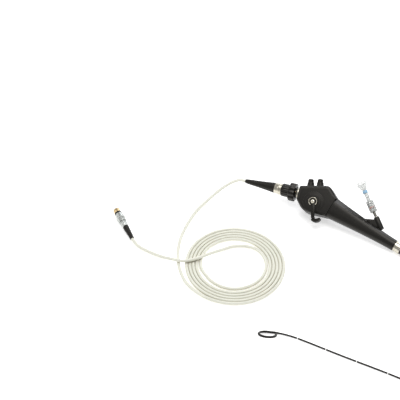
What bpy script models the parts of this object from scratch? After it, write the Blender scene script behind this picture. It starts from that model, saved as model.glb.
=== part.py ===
"""A slim flexible endoscope with its camera cable, lying on a table.

Units are metres and +Z is up.  +X runs along the handle from its cable end to the
insertion tube.  The handle lies rolled on its side, so its pieces are modelled in
the handle's own axes and carried by one tilted empty:
x along the grip, y towards the push buttons, z towards the thumb lever's hub.
"""

import math

import bmesh
import bpy
from mathutils import Matrix, Vector

MM = 0.001

# Fits
GAP = 0.3 * MM
RUNNING_GAP = 0.4 * MM

# How the handle lies, rolled and pitched so that its body and ferrule touch the table
TABLE_PLACE = Vector((-37.8 * MM, -22.5 * MM, 0))
HUB_PLACE = Vector((-3 * MM, 5.9 * MM, 22.91 * MM))
HANDLE_ROLL = math.radians(36)
HANDLE_PITCH = math.radians(6.3)
HANDLE_YAW = math.radians(2.3)

# Control body
NEAR_DEPTH = 18 * MM
FAR_DEPTH = 17 * MM
BODY_WALL = 2.2 * MM
FACE_WALL = 2.4 * MM
BODY_EDGE = 6 * MM
INNER_CHAMFER = 1.8 * MM
SEAM_X = 30 * MM
NOSE_WIDTH = 25 * MM
NOSE_LOW_ROUND = 5 * MM
NOSE_HIGH_ROUND = 4 * MM
BODY_BELLY = (-9.3 * MM, -22.7 * MM, 24 * MM)
BODY_CREST = (8 * MM, 38.6 * MM, 11 * MM)
SHOULDER_X = 24 * MM
SHOULDER_RISE = 3.4 * MM
SHOULDER_ROUND = 9 * MM
LOW_STEP_R = 18 * MM
LOW_STEP = 0.7 * MM
HIGH_STEP_R = 13 * MM
HIGH_STEP = 1.6 * MM
POST_R = 3.3 * MM
POST_RECESS = 0.1 * MM
POST_PLACES = ((-22.6 * MM, 2 * MM), (14 * MM, 27 * MM), (22 * MM, -3 * MM))
SCREW_R = 1.2 * MM
SEAT_HOLE_R = 1.4 * MM
SCREW_HEAD_R = 2.1 * MM
SCREW_HEAD = 1.3 * MM
SCREW_LENGTH = 19 * MM

# Lever and its shaft
SHAFT_R = 3 * MM
SHAFT_FOOT = -6.6 * MM
BUSH_R = 6 * MM
BUSH_FOOT = 11 * MM
PULLEY_R = 12 * MM
PULLEY_THICK = 5 * MM
PULLEY_FOOT = 1 * MM
GROOVE_DEPTH = 1.2 * MM
LEVER_ANGLE = math.radians(-58.5)
LEVER_THICK = 3.2 * MM
LEVER_BOSS_R = 6 * MM
LEVER_ROOT_WIDTH = 7.4 * MM
LEVER_TIP_WIDTH = 4.6 * MM
LEVER_LEG_R = 26.4 * MM
LEVER_LEG_THICK = 3.0 * MM
LEVER_LEG_FOOT = 11 * MM
HUB_RING_R = 8.3 * MM
HUB_RING_RISE = 1.0 * MM
CAP_R = 4.1 * MM
CAP_RISE = 1.9 * MM
PAD_WIDTH = 12 * MM

# Push buttons
BUTTON_SPACING = 16.5 * MM
BUTTON_PLACE = 24.6 * MM
BUTTON_GUIDE_R = 6.6 * MM
BUTTON_GUIDE_TOP_R = 5.7 * MM
BUTTON_GUIDE_HEIGHT = 8 * MM
BUTTON_CAP_R = 5 * MM
BUTTON_HEIGHT = 14 * MM
BUTTON_STEM_R = 2.2 * MM
BUTTON_TRAVEL = 1.5 * MM
BOARD_LENGTH = 30 * MM
BOARD_WIDTH = 8 * MM
BOARD_THICK = 1.6 * MM
BOARD_DEPTH = 9 * MM
SWITCH_R = 2.6 * MM
SWITCH_HEIGHT = 1.4 * MM

# Chassis plate inside the body
CHASSIS_FOOT = -7 * MM
CHASSIS_THICK = 2.5 * MM
CHASSIS_CORNERS = (
    (-27.8, -3, 2), (14, -9, 3), (28, -8, 3), (46, 4.5, 1.5), (46, 12.5, 1.5),
    (30, 16, 3), (-6, 16, 3), (-27.8, 7, 2),
)

# Grip and what it ends in
GRIP_Y = 8.5 * MM
GRIP_LENGTH = 125 * MM
GRIP_START_HALF_Y = 18.7 * MM
GRIP_START_HALF_Z = 16.6 * MM
GRIP_END_R = 9.6 * MM
GRIP_TAPER = 1.45
GRIP_SQUARENESS = 3.2
GRIP_FACET_ANGLE = math.radians(52)
GRIP_FACET_SHARE = 0.88
GRIP_SECTIONS = 7
GRIP_SIDES = 18
FERRULE_R = 9.75 * MM
FERRULE_LENGTH = 12 * MM
FERRULE_SPIGOT = 8 * MM
INNER_TUBE_R = 4.2 * MM
INNER_TUBE_WALL = 0.8 * MM
PROTECTOR_LENGTH = 45 * MM
PROTECTOR_R = 8.4 * MM
PROTECTOR_TIP_R = 2.7 * MM

# Channel port and the clear adaptor on it
PORT_MOUTH = Vector((103.5 * MM, 33 * MM, 0))
PORT_ANGLE = math.radians(145)
PORT_R = 4.9 * MM
PORT_LENGTH = 27 * MM
PORT_BORE_R = 2.6 * MM
WEB_THICK = 6 * MM
POST_STUB_R = 2.2 * MM
POST_STUB_TOP = 14 * MM
THREAD_TOP = 10.4 * MM
THREAD_TURNS = 4
THREAD_PITCH = 1.8 * MM
THREAD_WIDTH = 1.3 * MM
THREAD_RIDGE = 0.8 * MM
ADAPTOR_LENGTH = 66 * MM
COLLAR_FOOT = 11 * MM
COLLAR_LENGTH = 20.5 * MM
COLLAR_R = 6.3 * MM
STEM_R = 3.4 * MM
STEM_BORE_R = 2.5 * MM
SEAL_BAND_FOOT = 46.5 * MM
SEAL_BAND_LENGTH = 5 * MM
SEAL_BAND_R = 4.3 * MM
O_RING_FOOT = 19 * MM
O_RING_WIRE_R = 0.5 * MM
FUNNEL_R = 9.4 * MM
FUNNEL_WALL = 1.1 * MM

# Camera cable socket, coupling and boot
NOSE_CENTRE = Vector((-33.6 * MM, 1.6 * MM, 0))
NOSE_ANGLE = math.radians(197.4)
COLLAR_RING_R = 9.25 * MM
COLLAR_RING_LENGTH = 3 * MM
NECK_R = 8.4 * MM
NECK_LENGTH = 12.4 * MM
NECK_BORE_R = 5 * MM
COUPLING_R = 16 * MM
COUPLING_LENGTH = 9.5 * MM
COUPLING_FOOT = 8.5 * MM
COUPLING_LOBES = 9
COUPLING_SCALLOP = 1.6 * MM
CABLE_COLLAR_R = 11.2 * MM
CABLE_COLLAR_LENGTH = 13.3 * MM
CABLE_COLLAR_RIBS = 16
RIB_DEPTH = 0.6 * MM
CABLE_FERRULE_R = 10.1 * MM
CABLE_FERRULE_LENGTH = 13.3 * MM
BOOT_R = 9.1 * MM
BOOT_LENGTH = 54.7 * MM
BOOT_TIP_R = 3.5 * MM

# Camera cable: its two leads and the flat coil between them
CABLE_R = 2.75 * MM
CABLE_SEAT = 6 * MM
LEAVING = 3 * MM
CABLE_STEP = 14 * MM
COIL_PLACE = Vector((-36.7 * MM, -178.4 * MM, 0))
COIL_R = 85 * MM
COIL_TURNS = 5
COIL_PITCH = 5.76 * MM
HANDLE_LEAD = (
    (-143.0, -26.5, 19.6), (-150.2, -35.6, 17.6), (-154.8, -46.6, 15.2), (-158.6, -58.8, 12.4),
    (-162.4, -74.2, 8.0), (-164.6, -92.8, 4.3), (-164.8, -112.0, 3.0), (-163.0, -129.0, 2.8),
    (-158.8, -147.0, 2.8),
    (-152.6, -167.0, 2.8), (-145.6, -185.0, 2.8), (-136.0, -203.0, 2.8), (-124.7, -218.9, 2.8),
    (-113.4, -231.6, 2.8), (-104.0, -240.6, 2.8), (-94.6, -247.7, 2.8), (-84.6, -253.9, 2.8),
    (-74.6, -258.8, 2.8),
)
PLUG_LEAD = (
    (-191.0, -246.3, 2.9), (-178.0, -246.6, 2.8), (-163.0, -244.9, 2.8), (-148.0, -242.2, 3.2),
    (-136.0, -240.0, 4.6), (-125.0, -237.8, 7.2), (-114.0, -234.8, 9.0), (-104.0, -228.6, 9.0),
    (-95.0, -218.0, 9.0), (-87.4, -204.0, 8.9), (-80.6, -188.0, 8.2), (-76.0, -174.0, 5.4),
    (-71.4, -161.0, 3.0), (-64.6, -148.6, 2.8), (-55.0, -138.8, 2.8), (-43.0, -131.2, 2.8),
    (-29.0, -127.6, 2.8), (-14.6, -130.6, 2.8), (-2.0, -138.4, 2.8), (8.2, -150.4, 2.8),
    (14.6, -166.0, 2.8), (15.6, -183.0, 2.8), (11.2, -199.6, 2.8), (1.6, -214.4, 2.8),
    (-12.0, -225.0, 2.8), (-27.6, -230.1, 2.8), (-44.4, -230.3, 2.8), (-60.0, -225.4, 2.8),
)

# Plug at the cable's far end, lying on its sleeve and its strain relief
PLUG_TAIL = Vector((-206.8 * MM, -241.1 * MM, 3.6 * MM))
PLUG_WAY = Vector((-66.1, 30.9, 7.1)).normalized()
RELIEF_LENGTH = 28.5 * MM
RELIEF_R = 5.2 * MM
RELIEF_TIP_R = 3.5 * MM
NUT_LENGTH = 9 * MM
NUT_R = 6.2 * MM
BARREL_R = 5.4 * MM
BARREL_LENGTH = 24 * MM
SLEEVE_R = 8 * MM
SLEEVE_LENGTH = 17.8 * MM
SLEEVE_TRAVEL = 1.6 * MM
PLUG_NOSE_R = 5.7 * MM
PLUG_NOSE_LENGTH = 7 * MM
PLUG_SEAL_R = 6.4 * MM
PLUG_SEAL_LENGTH = 2.6 * MM

# Insertion tube, from the bend protector round to the bending section
TUBE_R = 1.4 * MM
TUBE_STEP = 9.6 * MM
TUBE_ROUTE = (
    (232.0, 21.8, 2.2), (258.0, 21.6, 1.5), (284.0, 18.6, 1.5), (309.0, 11.6, 1.5),
    (333.0, -1.0, 1.5), (355.0, -20.0, 1.5), (373.0, -45.0, 1.5), (386.0, -75.0, 1.5),
    (390.5, -106.0, 1.5), (385.5, -135.0, 1.5), (372.5, -160.5, 1.5), (354.0, -180.0, 1.5),
    (331.0, -193.5, 1.5), (306.0, -200.8, 1.5), (280.2, -206.1, 1.5), (255.0, -211.6, 1.5),
    (231.0, -217.0, 1.5), (206.0, -222.5, 1.5), (181.9, -227.5, 1.5), (157.0, -232.5, 1.5),
    (134.0, -237.6, 1.5), (120.0, -241.8, 1.6), (106.0, -247.6, 1.8),
)

# Bending section: ring links hinged in one plane, curled up at rest
BEND_START = Vector((87.6 * MM, -258.3 * MM, 2 * MM))
BEND_HEADING = math.radians(210.9)
BEND_PLANE_TILT = math.radians(34)
LINKS = 9
LINK_TURN = math.radians(27)
LINK_PITCH = 6.45 * MM
LINK_R = 1.5 * MM
LINK_BORE_R = 1 * MM
LINK_SIDES = 8
LINK_END_GAP = 0.5 * MM
EAR_TOP = 1.36 * MM
EAR_R = 0.4 * MM
EAR_ROOT = 0.6 * MM
EAR_THICK = 0.15 * MM
EAR_GAP = 0.06 * MM
RIVET_R = 0.16 * MM
BASE_LENGTH = 6 * MM
COVER_R = 1.9 * MM
COVER_WALL = 0.2 * MM
TIP_LENGTH = 10 * MM
TIP_SHOULDER = 4 * MM
TIP_R = 1.9 * MM
CHANNEL_R = 0.6 * MM
LENS_R = 0.42 * MM


def clear_scene():
    for obj in list(bpy.data.objects):
        bpy.data.objects.remove(obj, do_unlink=True)


def material(name, colour, roughness, metallic=0.0, transmission=0.0):
    made = bpy.data.materials.new(name)
    made.use_nodes = True
    shader = made.node_tree.nodes["Principled BSDF"]
    shader.inputs["Base Color"].default_value = (*colour, 1.0)
    shader.inputs["Roughness"].default_value = roughness
    shader.inputs["Metallic"].default_value = metallic
    shader.inputs["Transmission Weight"].default_value = transmission
    return made


def add_object(name, mesh_data, parent, look):
    """Put a bmesh into the scene under its parent, smooth apart from its sharp edges."""
    mesh = bpy.data.meshes.new(name)
    bmesh.ops.recalc_face_normals(mesh_data, faces=mesh_data.faces)
    mesh_data.to_mesh(mesh)
    mesh_data.free()
    mesh.shade_smooth()
    mesh.set_sharp_from_angle(angle=math.radians(35))
    obj = bpy.data.objects.new(name, mesh)
    bpy.context.collection.objects.link(obj)
    obj.parent = parent
    if look:
        mesh.materials.append(look)
    return obj


def axis_empty(name, parent, location, rotation=(0, 0, 0)):
    empty = bpy.data.objects.new(name, None)
    bpy.context.collection.objects.link(empty)
    empty.parent = parent
    empty.location = location
    empty.rotation_euler = rotation
    empty.empty_display_size = 5 * MM
    return empty


def turned_mesh(profile, segments=16):
    """Turn (radius, height) points about z: an open profile ends on the axis."""
    bm = bmesh.new()
    points = [bm.verts.new((radius, 0, height)) for radius, height in profile]
    edges = [bm.edges.new(pair) for pair in zip(points, points[1:])]
    on_axis = profile[0][0] == 0
    if not on_axis:
        edges.append(bm.edges.new((points[-1], points[0])))
    bmesh.ops.spin(
        bm, geom=points + edges, cent=(0, 0, 0), axis=(0, 0, 1),
        angle=2 * math.pi, steps=segments, use_duplicate=False,
    )
    bmesh.ops.remove_doubles(bm, verts=bm.verts, dist=0.002 * MM)
    return bm


def turned(name, profile, parent, look, segments=16):
    return add_object(name, turned_mesh(profile, segments), parent, look)


def arc_points(centre, radius, start, sweep, steps):
    return [
        (
            centre[0] + radius * math.cos(start + sweep * step / steps),
            centre[1] + radius * math.sin(start + sweep * step / steps),
        )
        for step in range(steps + 1)
    ]


def rounded_outline(corners, steps=5):
    """A closed outline whose (x, y, fillet) corners are rounded with arcs."""
    outline = []
    for index, (x, y, fillet) in enumerate(corners):
        corner = Vector((x, y))
        before = Vector(corners[index - 1][:2]) - corner
        after = Vector(corners[(index + 1) % len(corners)][:2]) - corner
        if fillet <= 0:
            outline.append((x, y))
            continue
        half = before.angle(after) / 2
        reach = fillet / math.tan(half)
        middle = (before.normalized() + after.normalized()).normalized()
        centre = corner + middle * (fillet / math.sin(half))
        first = corner + before.normalized() * reach - centre
        last = corner + after.normalized() * reach - centre
        start = math.atan2(first.y, first.x)
        sweep = math.atan2(first.x * last.y - first.y * last.x, first.dot(last))
        outline += arc_points(centre, fillet, start, sweep, steps)
    return outline


def inset_corners(corners, distance):
    """The same corners moved inwards by a wall, for an outline that runs clockwise or not."""
    area = sum(
        a[0] * b[1] - b[0] * a[1] for a, b in zip(corners, corners[1:] + corners[:1])
    )
    side = 1 if area > 0 else -1
    moved = []
    for index, (x, y, fillet) in enumerate(corners):
        corner = Vector((x, y))
        along_in = (corner - Vector(corners[index - 1][:2])).normalized()
        along_out = (Vector(corners[(index + 1) % len(corners)][:2]) - corner).normalized()
        inward_in = Vector((-along_in.y, along_in.x)) * side
        inward_out = Vector((-along_out.y, along_out.x)) * side
        shift = (inward_in + inward_out) * (distance / (1 + inward_in.dot(inward_out)))
        turn = along_in.x * along_out.y - along_in.y * along_out.x
        convex = turn * side > 0
        if fillet > 0:
            fillet = max(fillet - distance, 0.5 * MM) if convex else fillet + distance
        moved.append((x + shift.x, y + shift.y, fillet))
    return moved


def prism_mesh(outline, bottom, top):
    bm = bmesh.new()
    face = bm.faces.new([bm.verts.new((x, y, bottom)) for x, y in outline])
    grown = bmesh.ops.extrude_face_region(bm, geom=[face])
    lifted = [item for item in grown["geom"] if isinstance(item, bmesh.types.BMVert)]
    bmesh.ops.translate(bm, verts=lifted, vec=(0, 0, top - bottom))
    return bm


def bevel_edges(bm, chosen, width, segments):
    bmesh.ops.bevel(
        bm, geom=chosen, offset=width, offset_type="OFFSET", segments=segments,
        profile=0.5, affect="EDGES", clamp_overlap=True,
    )


def loft_mesh(loops, closed_tube=False):
    """Skin rings of equal point counts; a closed tube joins the last ring to the first."""
    bm = bmesh.new()
    rings = [[bm.verts.new(point) for point in loop] for loop in loops]
    pairs = list(zip(rings, rings[1:]))
    if closed_tube:
        pairs.append((rings[-1], rings[0]))
    for low, high in pairs:
        count = len(low)
        for index in range(count):
            following = (index + 1) % count
            bm.faces.new((low[index], low[following], high[following], high[index]))
    if not closed_tube:
        bm.faces.new(list(reversed(rings[0])))
        bm.faces.new(rings[-1])
    return bm


def combine(target, tool, operation="DIFFERENCE"):
    """Cut a hidden tool from a piece, or join it on, with an exact Boolean."""
    tool.hide_render = True
    tool.display_type = "WIRE"
    change = target.modifiers.new(tool.name, "BOOLEAN")
    change.operation = operation
    change.solver = "EXACT"
    change.object = tool


def drill(target, name, parent, radius, bottom, top, place=(0, 0), segments=14):
    """Cut a round hole along z of the parent's axes."""
    profile = [(0, top), (radius, top), (radius, bottom), (0, bottom)]
    tool = turned(name, profile, parent, None, segments)
    tool.location = (place[0], place[1], 0)
    combine(target, tool)
    return tool


# Looks

BLACK_SHELL = material("black_shell", (0.020, 0.019, 0.018), 0.42)
BLACK_RUBBER = material("black_rubber", (0.014, 0.014, 0.014), 0.62)
BLACK_KNOB = material("black_knob", (0.012, 0.012, 0.012), 0.35)
SILVER = material("silver", (0.80, 0.78, 0.72), 0.22, 1.0)
STEEL = material("steel", (0.62, 0.62, 0.60), 0.30, 1.0)
BRASS = material("brass", (0.78, 0.60, 0.30), 0.30, 1.0)
BOARD_GREEN = material("board_green", (0.02, 0.20, 0.08), 0.55)
CLEAR = material("clear_plastic", (0.90, 0.91, 0.90), 0.08, 0.0, 0.9)
SEAL_BLUE = material("seal_blue", (0.25, 0.50, 0.75), 0.45)
SEAL_RED = material("seal_red", (0.75, 0.12, 0.04), 0.45)
IVORY = material("ivory_jacket", (0.86, 0.85, 0.78), 0.45)
TUBE_GREY = material("tube_grey", (0.045, 0.038, 0.033), 0.40)
LENS_GLASS = material("lens_glass", (0.10, 0.12, 0.20), 0.02)


def body_corners():
    """The control body's outline seen along the hub, with its corner fillets."""
    facing = Vector((math.cos(NOSE_ANGLE), math.sin(NOSE_ANGLE)))
    across = Vector((-facing.y, facing.x))
    nose_low = NOSE_CENTRE.xy + across * NOSE_WIDTH * 0.5
    nose_high = NOSE_CENTRE.xy - across * NOSE_WIDTH * 0.47
    grip_low, grip_high = grip_edges(0)
    return [
        (nose_low.x, nose_low.y, NOSE_LOW_ROUND),
        BODY_BELLY,
        (SEAM_X, grip_low, 0),
        (SEAM_X, grip_high, 0),
        (SHOULDER_X, grip_high + SHOULDER_RISE, SHOULDER_ROUND),
        BODY_CREST,
        (nose_high.x, nose_high.y, NOSE_HIGH_ROUND),
    ]


def grip_half_sizes(share):
    """Half height and half depth of the grip at a share of its length from the seam."""
    left = 1 - share
    half_y = GRIP_END_R + (GRIP_START_HALF_Y - GRIP_END_R) * left ** GRIP_TAPER
    half_z = GRIP_END_R + (GRIP_START_HALF_Z - GRIP_END_R) * left ** GRIP_TAPER
    return half_y, half_z


def grip_edges(share):
    half_y = grip_half_sizes(share)[0]
    return GRIP_Y - half_y, GRIP_Y + half_y


def grip_ring(share, wall=0.0):
    """One cross section: a squarish oval with a flat facet along both upper flanks."""
    half_y, half_z = grip_half_sizes(share)
    left = 1 - share
    power = 2 + (GRIP_SQUARENESS - 2) * left
    half_y -= wall
    half_z -= wall
    x = SEAM_X + GAP + (GRIP_LENGTH - GAP) * share
    ring = []
    for index in range(GRIP_SIDES):
        angle = 2 * math.pi * index / GRIP_SIDES
        z_way, y_way = math.cos(angle), math.sin(angle)
        radius = (
            abs(z_way / half_z) ** power + abs(y_way / half_y) ** power
        ) ** (-1 / power)
        if wall == 0:
            corner_z = math.cos(GRIP_FACET_ANGLE)
            corner_y = math.sin(GRIP_FACET_ANGLE)
            plain = (
                abs(corner_z / half_z) ** power + abs(corner_y / half_y) ** power
            ) ** (-1 / power)
            flat = plain * (1 - (1 - GRIP_FACET_SHARE) * left ** 0.5)
            towards = abs(z_way) * corner_z + y_way * corner_y
            if towards > 0:
                radius = min(radius, flat / towards)
        ring.append(Vector((x, GRIP_Y + radius * y_way, radius * z_way)))
    return ring


def stacked_outlines(corners, levels, steps, seam):
    """A solid through the same outline drawn in by each level's inset, open at the seam."""
    loops = []
    for inset, height in levels:
        drawn_in = inset_corners(corners, inset)
        at_seam = [index for index, corner in enumerate(corners) if corner[0] == SEAM_X]
        for index in at_seam:
            drawn_in[index] = (seam, *drawn_in[index][1:])
        loops.append([Vector((x, y, height)) for x, y in rounded_outline(drawn_in, steps)])
    return loft_mesh(loops)


def control_shell(name, side, depth, hole_depth, parent):
    """One half of the body, its posts bored for screws: side is +1 towards the lever hub."""
    corners = body_corners()
    rim = [
        (BODY_EDGE * (1 - math.cos(angle)), depth - BODY_EDGE * (1 - math.sin(angle)))
        for angle in (math.radians(degrees) for degrees in (0, 30, 60, 90))
    ]
    bm = stacked_outlines(corners, [(0, GAP / 2), *rim], 5, SEAM_X)
    bmesh.ops.scale(bm, verts=bm.verts, vec=(1, 1, side))
    shell = add_object(name, bm, parent, BLACK_SHELL)

    levels = [
        (BODY_WALL, -MM), (BODY_WALL, depth - BODY_EDGE),
        (BODY_WALL + INNER_CHAMFER, depth - FACE_WALL),
    ]
    hollow = stacked_outlines(corners, levels, 3, SEAM_X + BODY_WALL)
    bmesh.ops.scale(hollow, verts=hollow.verts, vec=(1, 1, side))
    combine(shell, add_object(name + "_hollow", hollow, parent, None))
    for number, place in enumerate(POST_PLACES):
        foot = side * (GAP / 2 + POST_RECESS)
        head = side * (depth - FACE_WALL / 2)
        bottom = side * hole_depth
        profile = [(0, head), (POST_R, head), (POST_R, foot), (SCREW_R + GAP, foot),
                   (SCREW_R + GAP, bottom), (0, bottom)]
        post = turned(f"{name}_post_{number}", profile, parent, None, 8)
        post.location = (*place, 0)
        combine(shell, post, "UNION")
    return shell


def make_body(parent, nose, buttons):
    under_head = FAR_DEPTH - SCREW_HEAD
    head_seat = under_head - GAP
    screw_end = SCREW_LENGTH - under_head
    near = control_shell("control_shell_near", 1, NEAR_DEPTH, screw_end + GAP, parent)
    foot = NEAR_DEPTH - FACE_WALL * 0.4
    low, high = NEAR_DEPTH + LOW_STEP, NEAR_DEPTH + HIGH_STEP
    edge = 0.3 * MM
    steps = turned(
        "face_steps",
        [(0, high), (HIGH_STEP_R - edge, high), (HIGH_STEP_R, high - edge), (HIGH_STEP_R, low),
         (LOW_STEP_R - edge, low), (LOW_STEP_R, low - edge), (LOW_STEP_R, foot), (0, foot)],
        parent, None, 24,
    )
    combine(near, steps, "UNION")
    drill(near, "hub_bore", parent, BUSH_R + GAP, 5 * MM, NEAR_DEPTH + 4 * MM, segments=16)
    far = control_shell("control_shell_far", -1, FAR_DEPTH, head_seat + GAP, parent)

    nose_cut = turned_mesh(
        [(0, 2 * MM), (NECK_BORE_R + 1.3 * MM, 2 * MM), (NECK_BORE_R + 1.3 * MM, -4 * MM),
         (0, -4 * MM)], 18,
    )
    nose_tool = add_object("nose_bore", nose_cut, nose, None)
    for shell in (near, far):
        combine(shell, nose_tool)
        for number, place in enumerate((-0.5, 0.5)):
            drill(
                shell, f"{shell.name}_button_hole_{number}", buttons,
                BUTTON_STEM_R + RUNNING_GAP, -BODY_WALL - 3 * MM, 2 * MM,
                (place * BUTTON_SPACING, 0), 12,
            )
    for number, place in enumerate(POST_PLACES):
        inside = FACE_WALL + MM - FAR_DEPTH
        way = turned(
            f"screw_head_way_{number}",
            [(0, inside), (SEAT_HOLE_R, inside), (SEAT_HOLE_R, -head_seat),
             (SCREW_HEAD_R + GAP, -head_seat), (SCREW_HEAD_R + GAP, -FAR_DEPTH - MM),
             (0, -FAR_DEPTH - MM)],
            parent, None, 8,
        )
        way.location = (*place, 0)
        combine(far, way)
        socket = -FAR_DEPTH + SCREW_HEAD * 0.6
        screw = turned(
            f"shell_screw_{number + 1}",
            [(0, screw_end), (SCREW_R, screw_end), (SCREW_R, -under_head),
             (SCREW_HEAD_R, -under_head), (SCREW_HEAD_R, -FAR_DEPTH), (SCREW_R, -FAR_DEPTH),
             (SCREW_R * 0.6, socket), (0, socket)],
            parent, STEEL, 8,
        )
        screw.location = (*place, 0)


def make_chassis(parent):
    """The plate that carries the shaft's foot and runs on into the grip."""
    corners = [tuple(value * MM for value in corner) for corner in CHASSIS_CORNERS]
    top = CHASSIS_FOOT + CHASSIS_THICK
    plate = add_object(
        "chassis", prism_mesh(rounded_outline(corners, 3), CHASSIS_FOOT, top), parent, STEEL,
    )
    boss_top = PULLEY_FOOT - GAP
    boss = turned(
        "chassis_boss",
        [(0, boss_top), (SHAFT_R * 2, boss_top), (SHAFT_R * 2, top - MM), (0, top - MM)],
        parent, None, 14,
    )
    combine(plate, boss, "UNION")
    drill(plate, "chassis_bore", parent, SHAFT_R + GAP, CHASSIS_FOOT - MM, boss_top + MM)
    for number in (0, 2):
        drill(
            plate, f"chassis_post_way_{number}", parent, POST_R + GAP,
            CHASSIS_FOOT - MM, top + MM, POST_PLACES[number], 12,
        )


def lever_plane(radial, tangent):
    """A point of the lever's own plane, given outwards and sideways from the hub."""
    out = Vector((math.cos(LEVER_ANGLE), math.sin(LEVER_ANGLE)))
    aside = Vector((-out.y, out.x))
    return out * radial + aside * tangent


def make_lever(parent):
    """Shaft, bush, wire pulley, lever arm, thumb pad, hub ring and cap."""
    face = NEAR_DEPTH + HIGH_STEP
    bush_top = face + GAP
    boss_foot = bush_top + GAP
    boss_top = boss_foot + LEVER_THICK
    turned(
        "lever_shaft",
        [(0, boss_top), (SHAFT_R, boss_top), (SHAFT_R, SHAFT_FOOT), (0, SHAFT_FOOT)],
        parent, STEEL, 14,
    )
    bore = SHAFT_R + GAP
    turned(
        "shaft_bush",
        [(bore, bush_top), (BUSH_R, bush_top), (BUSH_R, NEAR_DEPTH - FACE_WALL - GAP),
         (BUSH_R + 1.6 * MM, NEAR_DEPTH - FACE_WALL - GAP), (BUSH_R + 1.6 * MM, BUSH_FOOT),
         (bore, BUSH_FOOT)],
        parent, BRASS, 16,
    )
    middle = PULLEY_FOOT + PULLEY_THICK / 2
    top = PULLEY_FOOT + PULLEY_THICK
    turned(
        "wire_pulley",
        [(bore, top), (PULLEY_R - 0.4 * MM, top), (PULLEY_R, top - 0.8 * MM),
         (PULLEY_R, middle + 0.8 * MM), (PULLEY_R - GROOVE_DEPTH, middle),
         (PULLEY_R, middle - 0.8 * MM), (PULLEY_R, PULLEY_FOOT + 0.8 * MM),
         (PULLEY_R - 0.4 * MM, PULLEY_FOOT), (bore, PULLEY_FOOT)],
        parent, STEEL, 14,
    )

    leg_out = LEVER_LEG_R + LEVER_LEG_THICK
    side_view = rounded_outline(
        [(0, boss_foot, 0), (LEVER_LEG_R, boss_foot, 1 * MM),
         (LEVER_LEG_R, LEVER_LEG_FOOT, 0), (leg_out, LEVER_LEG_FOOT, 0),
         (leg_out, boss_top, 3 * MM), (0, boss_top, 0)], 3,
    )
    arm_mesh = prism_mesh(side_view, -0.5, 0.5)
    for vert in arm_mesh.verts:
        radial, height, side = vert.co
        blend = min(1.0, max(0.0, (radial - HUB_RING_R) / (LEVER_LEG_R - HUB_RING_R)))
        width = LEVER_ROOT_WIDTH + (LEVER_TIP_WIDTH - LEVER_ROOT_WIDTH) * blend
        spot = lever_plane(radial, side * width)
        vert.co = (spot.x, spot.y, height)
    arm = add_object("lever_arm", arm_mesh, parent, BLACK_KNOB)
    boss = turned(
        "lever_boss",
        [(0, boss_top), (LEVER_BOSS_R - 0.5 * MM, boss_top), (LEVER_BOSS_R, boss_top - 0.5 * MM),
         (LEVER_BOSS_R, boss_foot), (0, boss_foot)],
        parent, None, 14,
    )
    combine(arm, boss, "UNION")
    drill(arm, "lever_bore", parent, bore, boss_foot - MM, boss_top + MM, segments=16)

    ring_top = boss_top + HUB_RING_RISE
    ring = turned(
        "hub_ring",
        [(LEVER_BOSS_R + GAP, ring_top), (HUB_RING_R - 0.6 * MM, ring_top),
         (HUB_RING_R, ring_top - 0.6 * MM), (HUB_RING_R, boss_foot), (LEVER_BOSS_R + GAP, boss_foot)],
        parent, SILVER, 20,
    )
    notch = LEVER_ROOT_WIDTH / 2 + GAP
    outline = [lever_plane(0, -notch), lever_plane(2 * HUB_RING_R, -notch),
               lever_plane(2 * HUB_RING_R, notch), lever_plane(0, notch)]
    slot = prism_mesh([tuple(point) for point in outline], boss_foot - MM, ring_top + MM)
    combine(ring, add_object("hub_ring_slot", slot, parent, None))

    cap_foot = boss_top + GAP
    dome = [
        (CAP_R * math.cos(math.radians(angle)), cap_foot + CAP_RISE * math.sin(math.radians(angle)))
        for angle in (75, 50, 25, 8)
    ]
    cap = turned(
        "hub_cap",
        [(0, cap_foot + CAP_RISE), *dome, (CAP_R, cap_foot), (0, cap_foot)], parent, SILVER, 16,
    )
    slot_outline = [(-0.5 * MM, -CAP_R * 1.2), (0.5 * MM, -CAP_R * 1.2),
                    (0.5 * MM, CAP_R * 1.2), (-0.5 * MM, CAP_R * 1.2)]
    screw_slot = prism_mesh(slot_outline, cap_foot + CAP_RISE * 0.55, cap_foot + CAP_RISE + MM)
    combine(cap, add_object("hub_cap_slot", screw_slot, parent, None))

    inner = leg_out + GAP
    hook = rounded_outline(
        [(inner, -3.4 * MM, 1 * MM), (inner + 2.6 * MM, -3.4 * MM, 2 * MM),
         (inner + 5.6 * MM, 2.5 * MM, 5 * MM), (inner + 4.8 * MM, 8.5 * MM, 4 * MM),
         (inner + 0.8 * MM, 13 * MM, 1.6 * MM), (inner - 1.2 * MM, 11.2 * MM, 1.0 * MM),
         (inner + 1.0 * MM, 5.6 * MM, 3 * MM), (inner, 2.6 * MM, 0)], 3,
    )
    pad_outline = [tuple(lever_plane(radial, tangent)) for radial, tangent in hook]
    pad_foot = LEVER_LEG_FOOT - 2.5 * MM
    pad_mesh = prism_mesh(pad_outline, pad_foot, pad_foot + PAD_WIDTH)
    rims = [
        edge for edge in pad_mesh.edges
        if abs(edge.verts[0].co.z - edge.verts[1].co.z) < 0.01 * MM
    ]
    bevel_edges(pad_mesh, rims, 0.8 * MM, 2)
    add_object("thumb_pad", pad_mesh, parent, BLACK_RUBBER)


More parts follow.
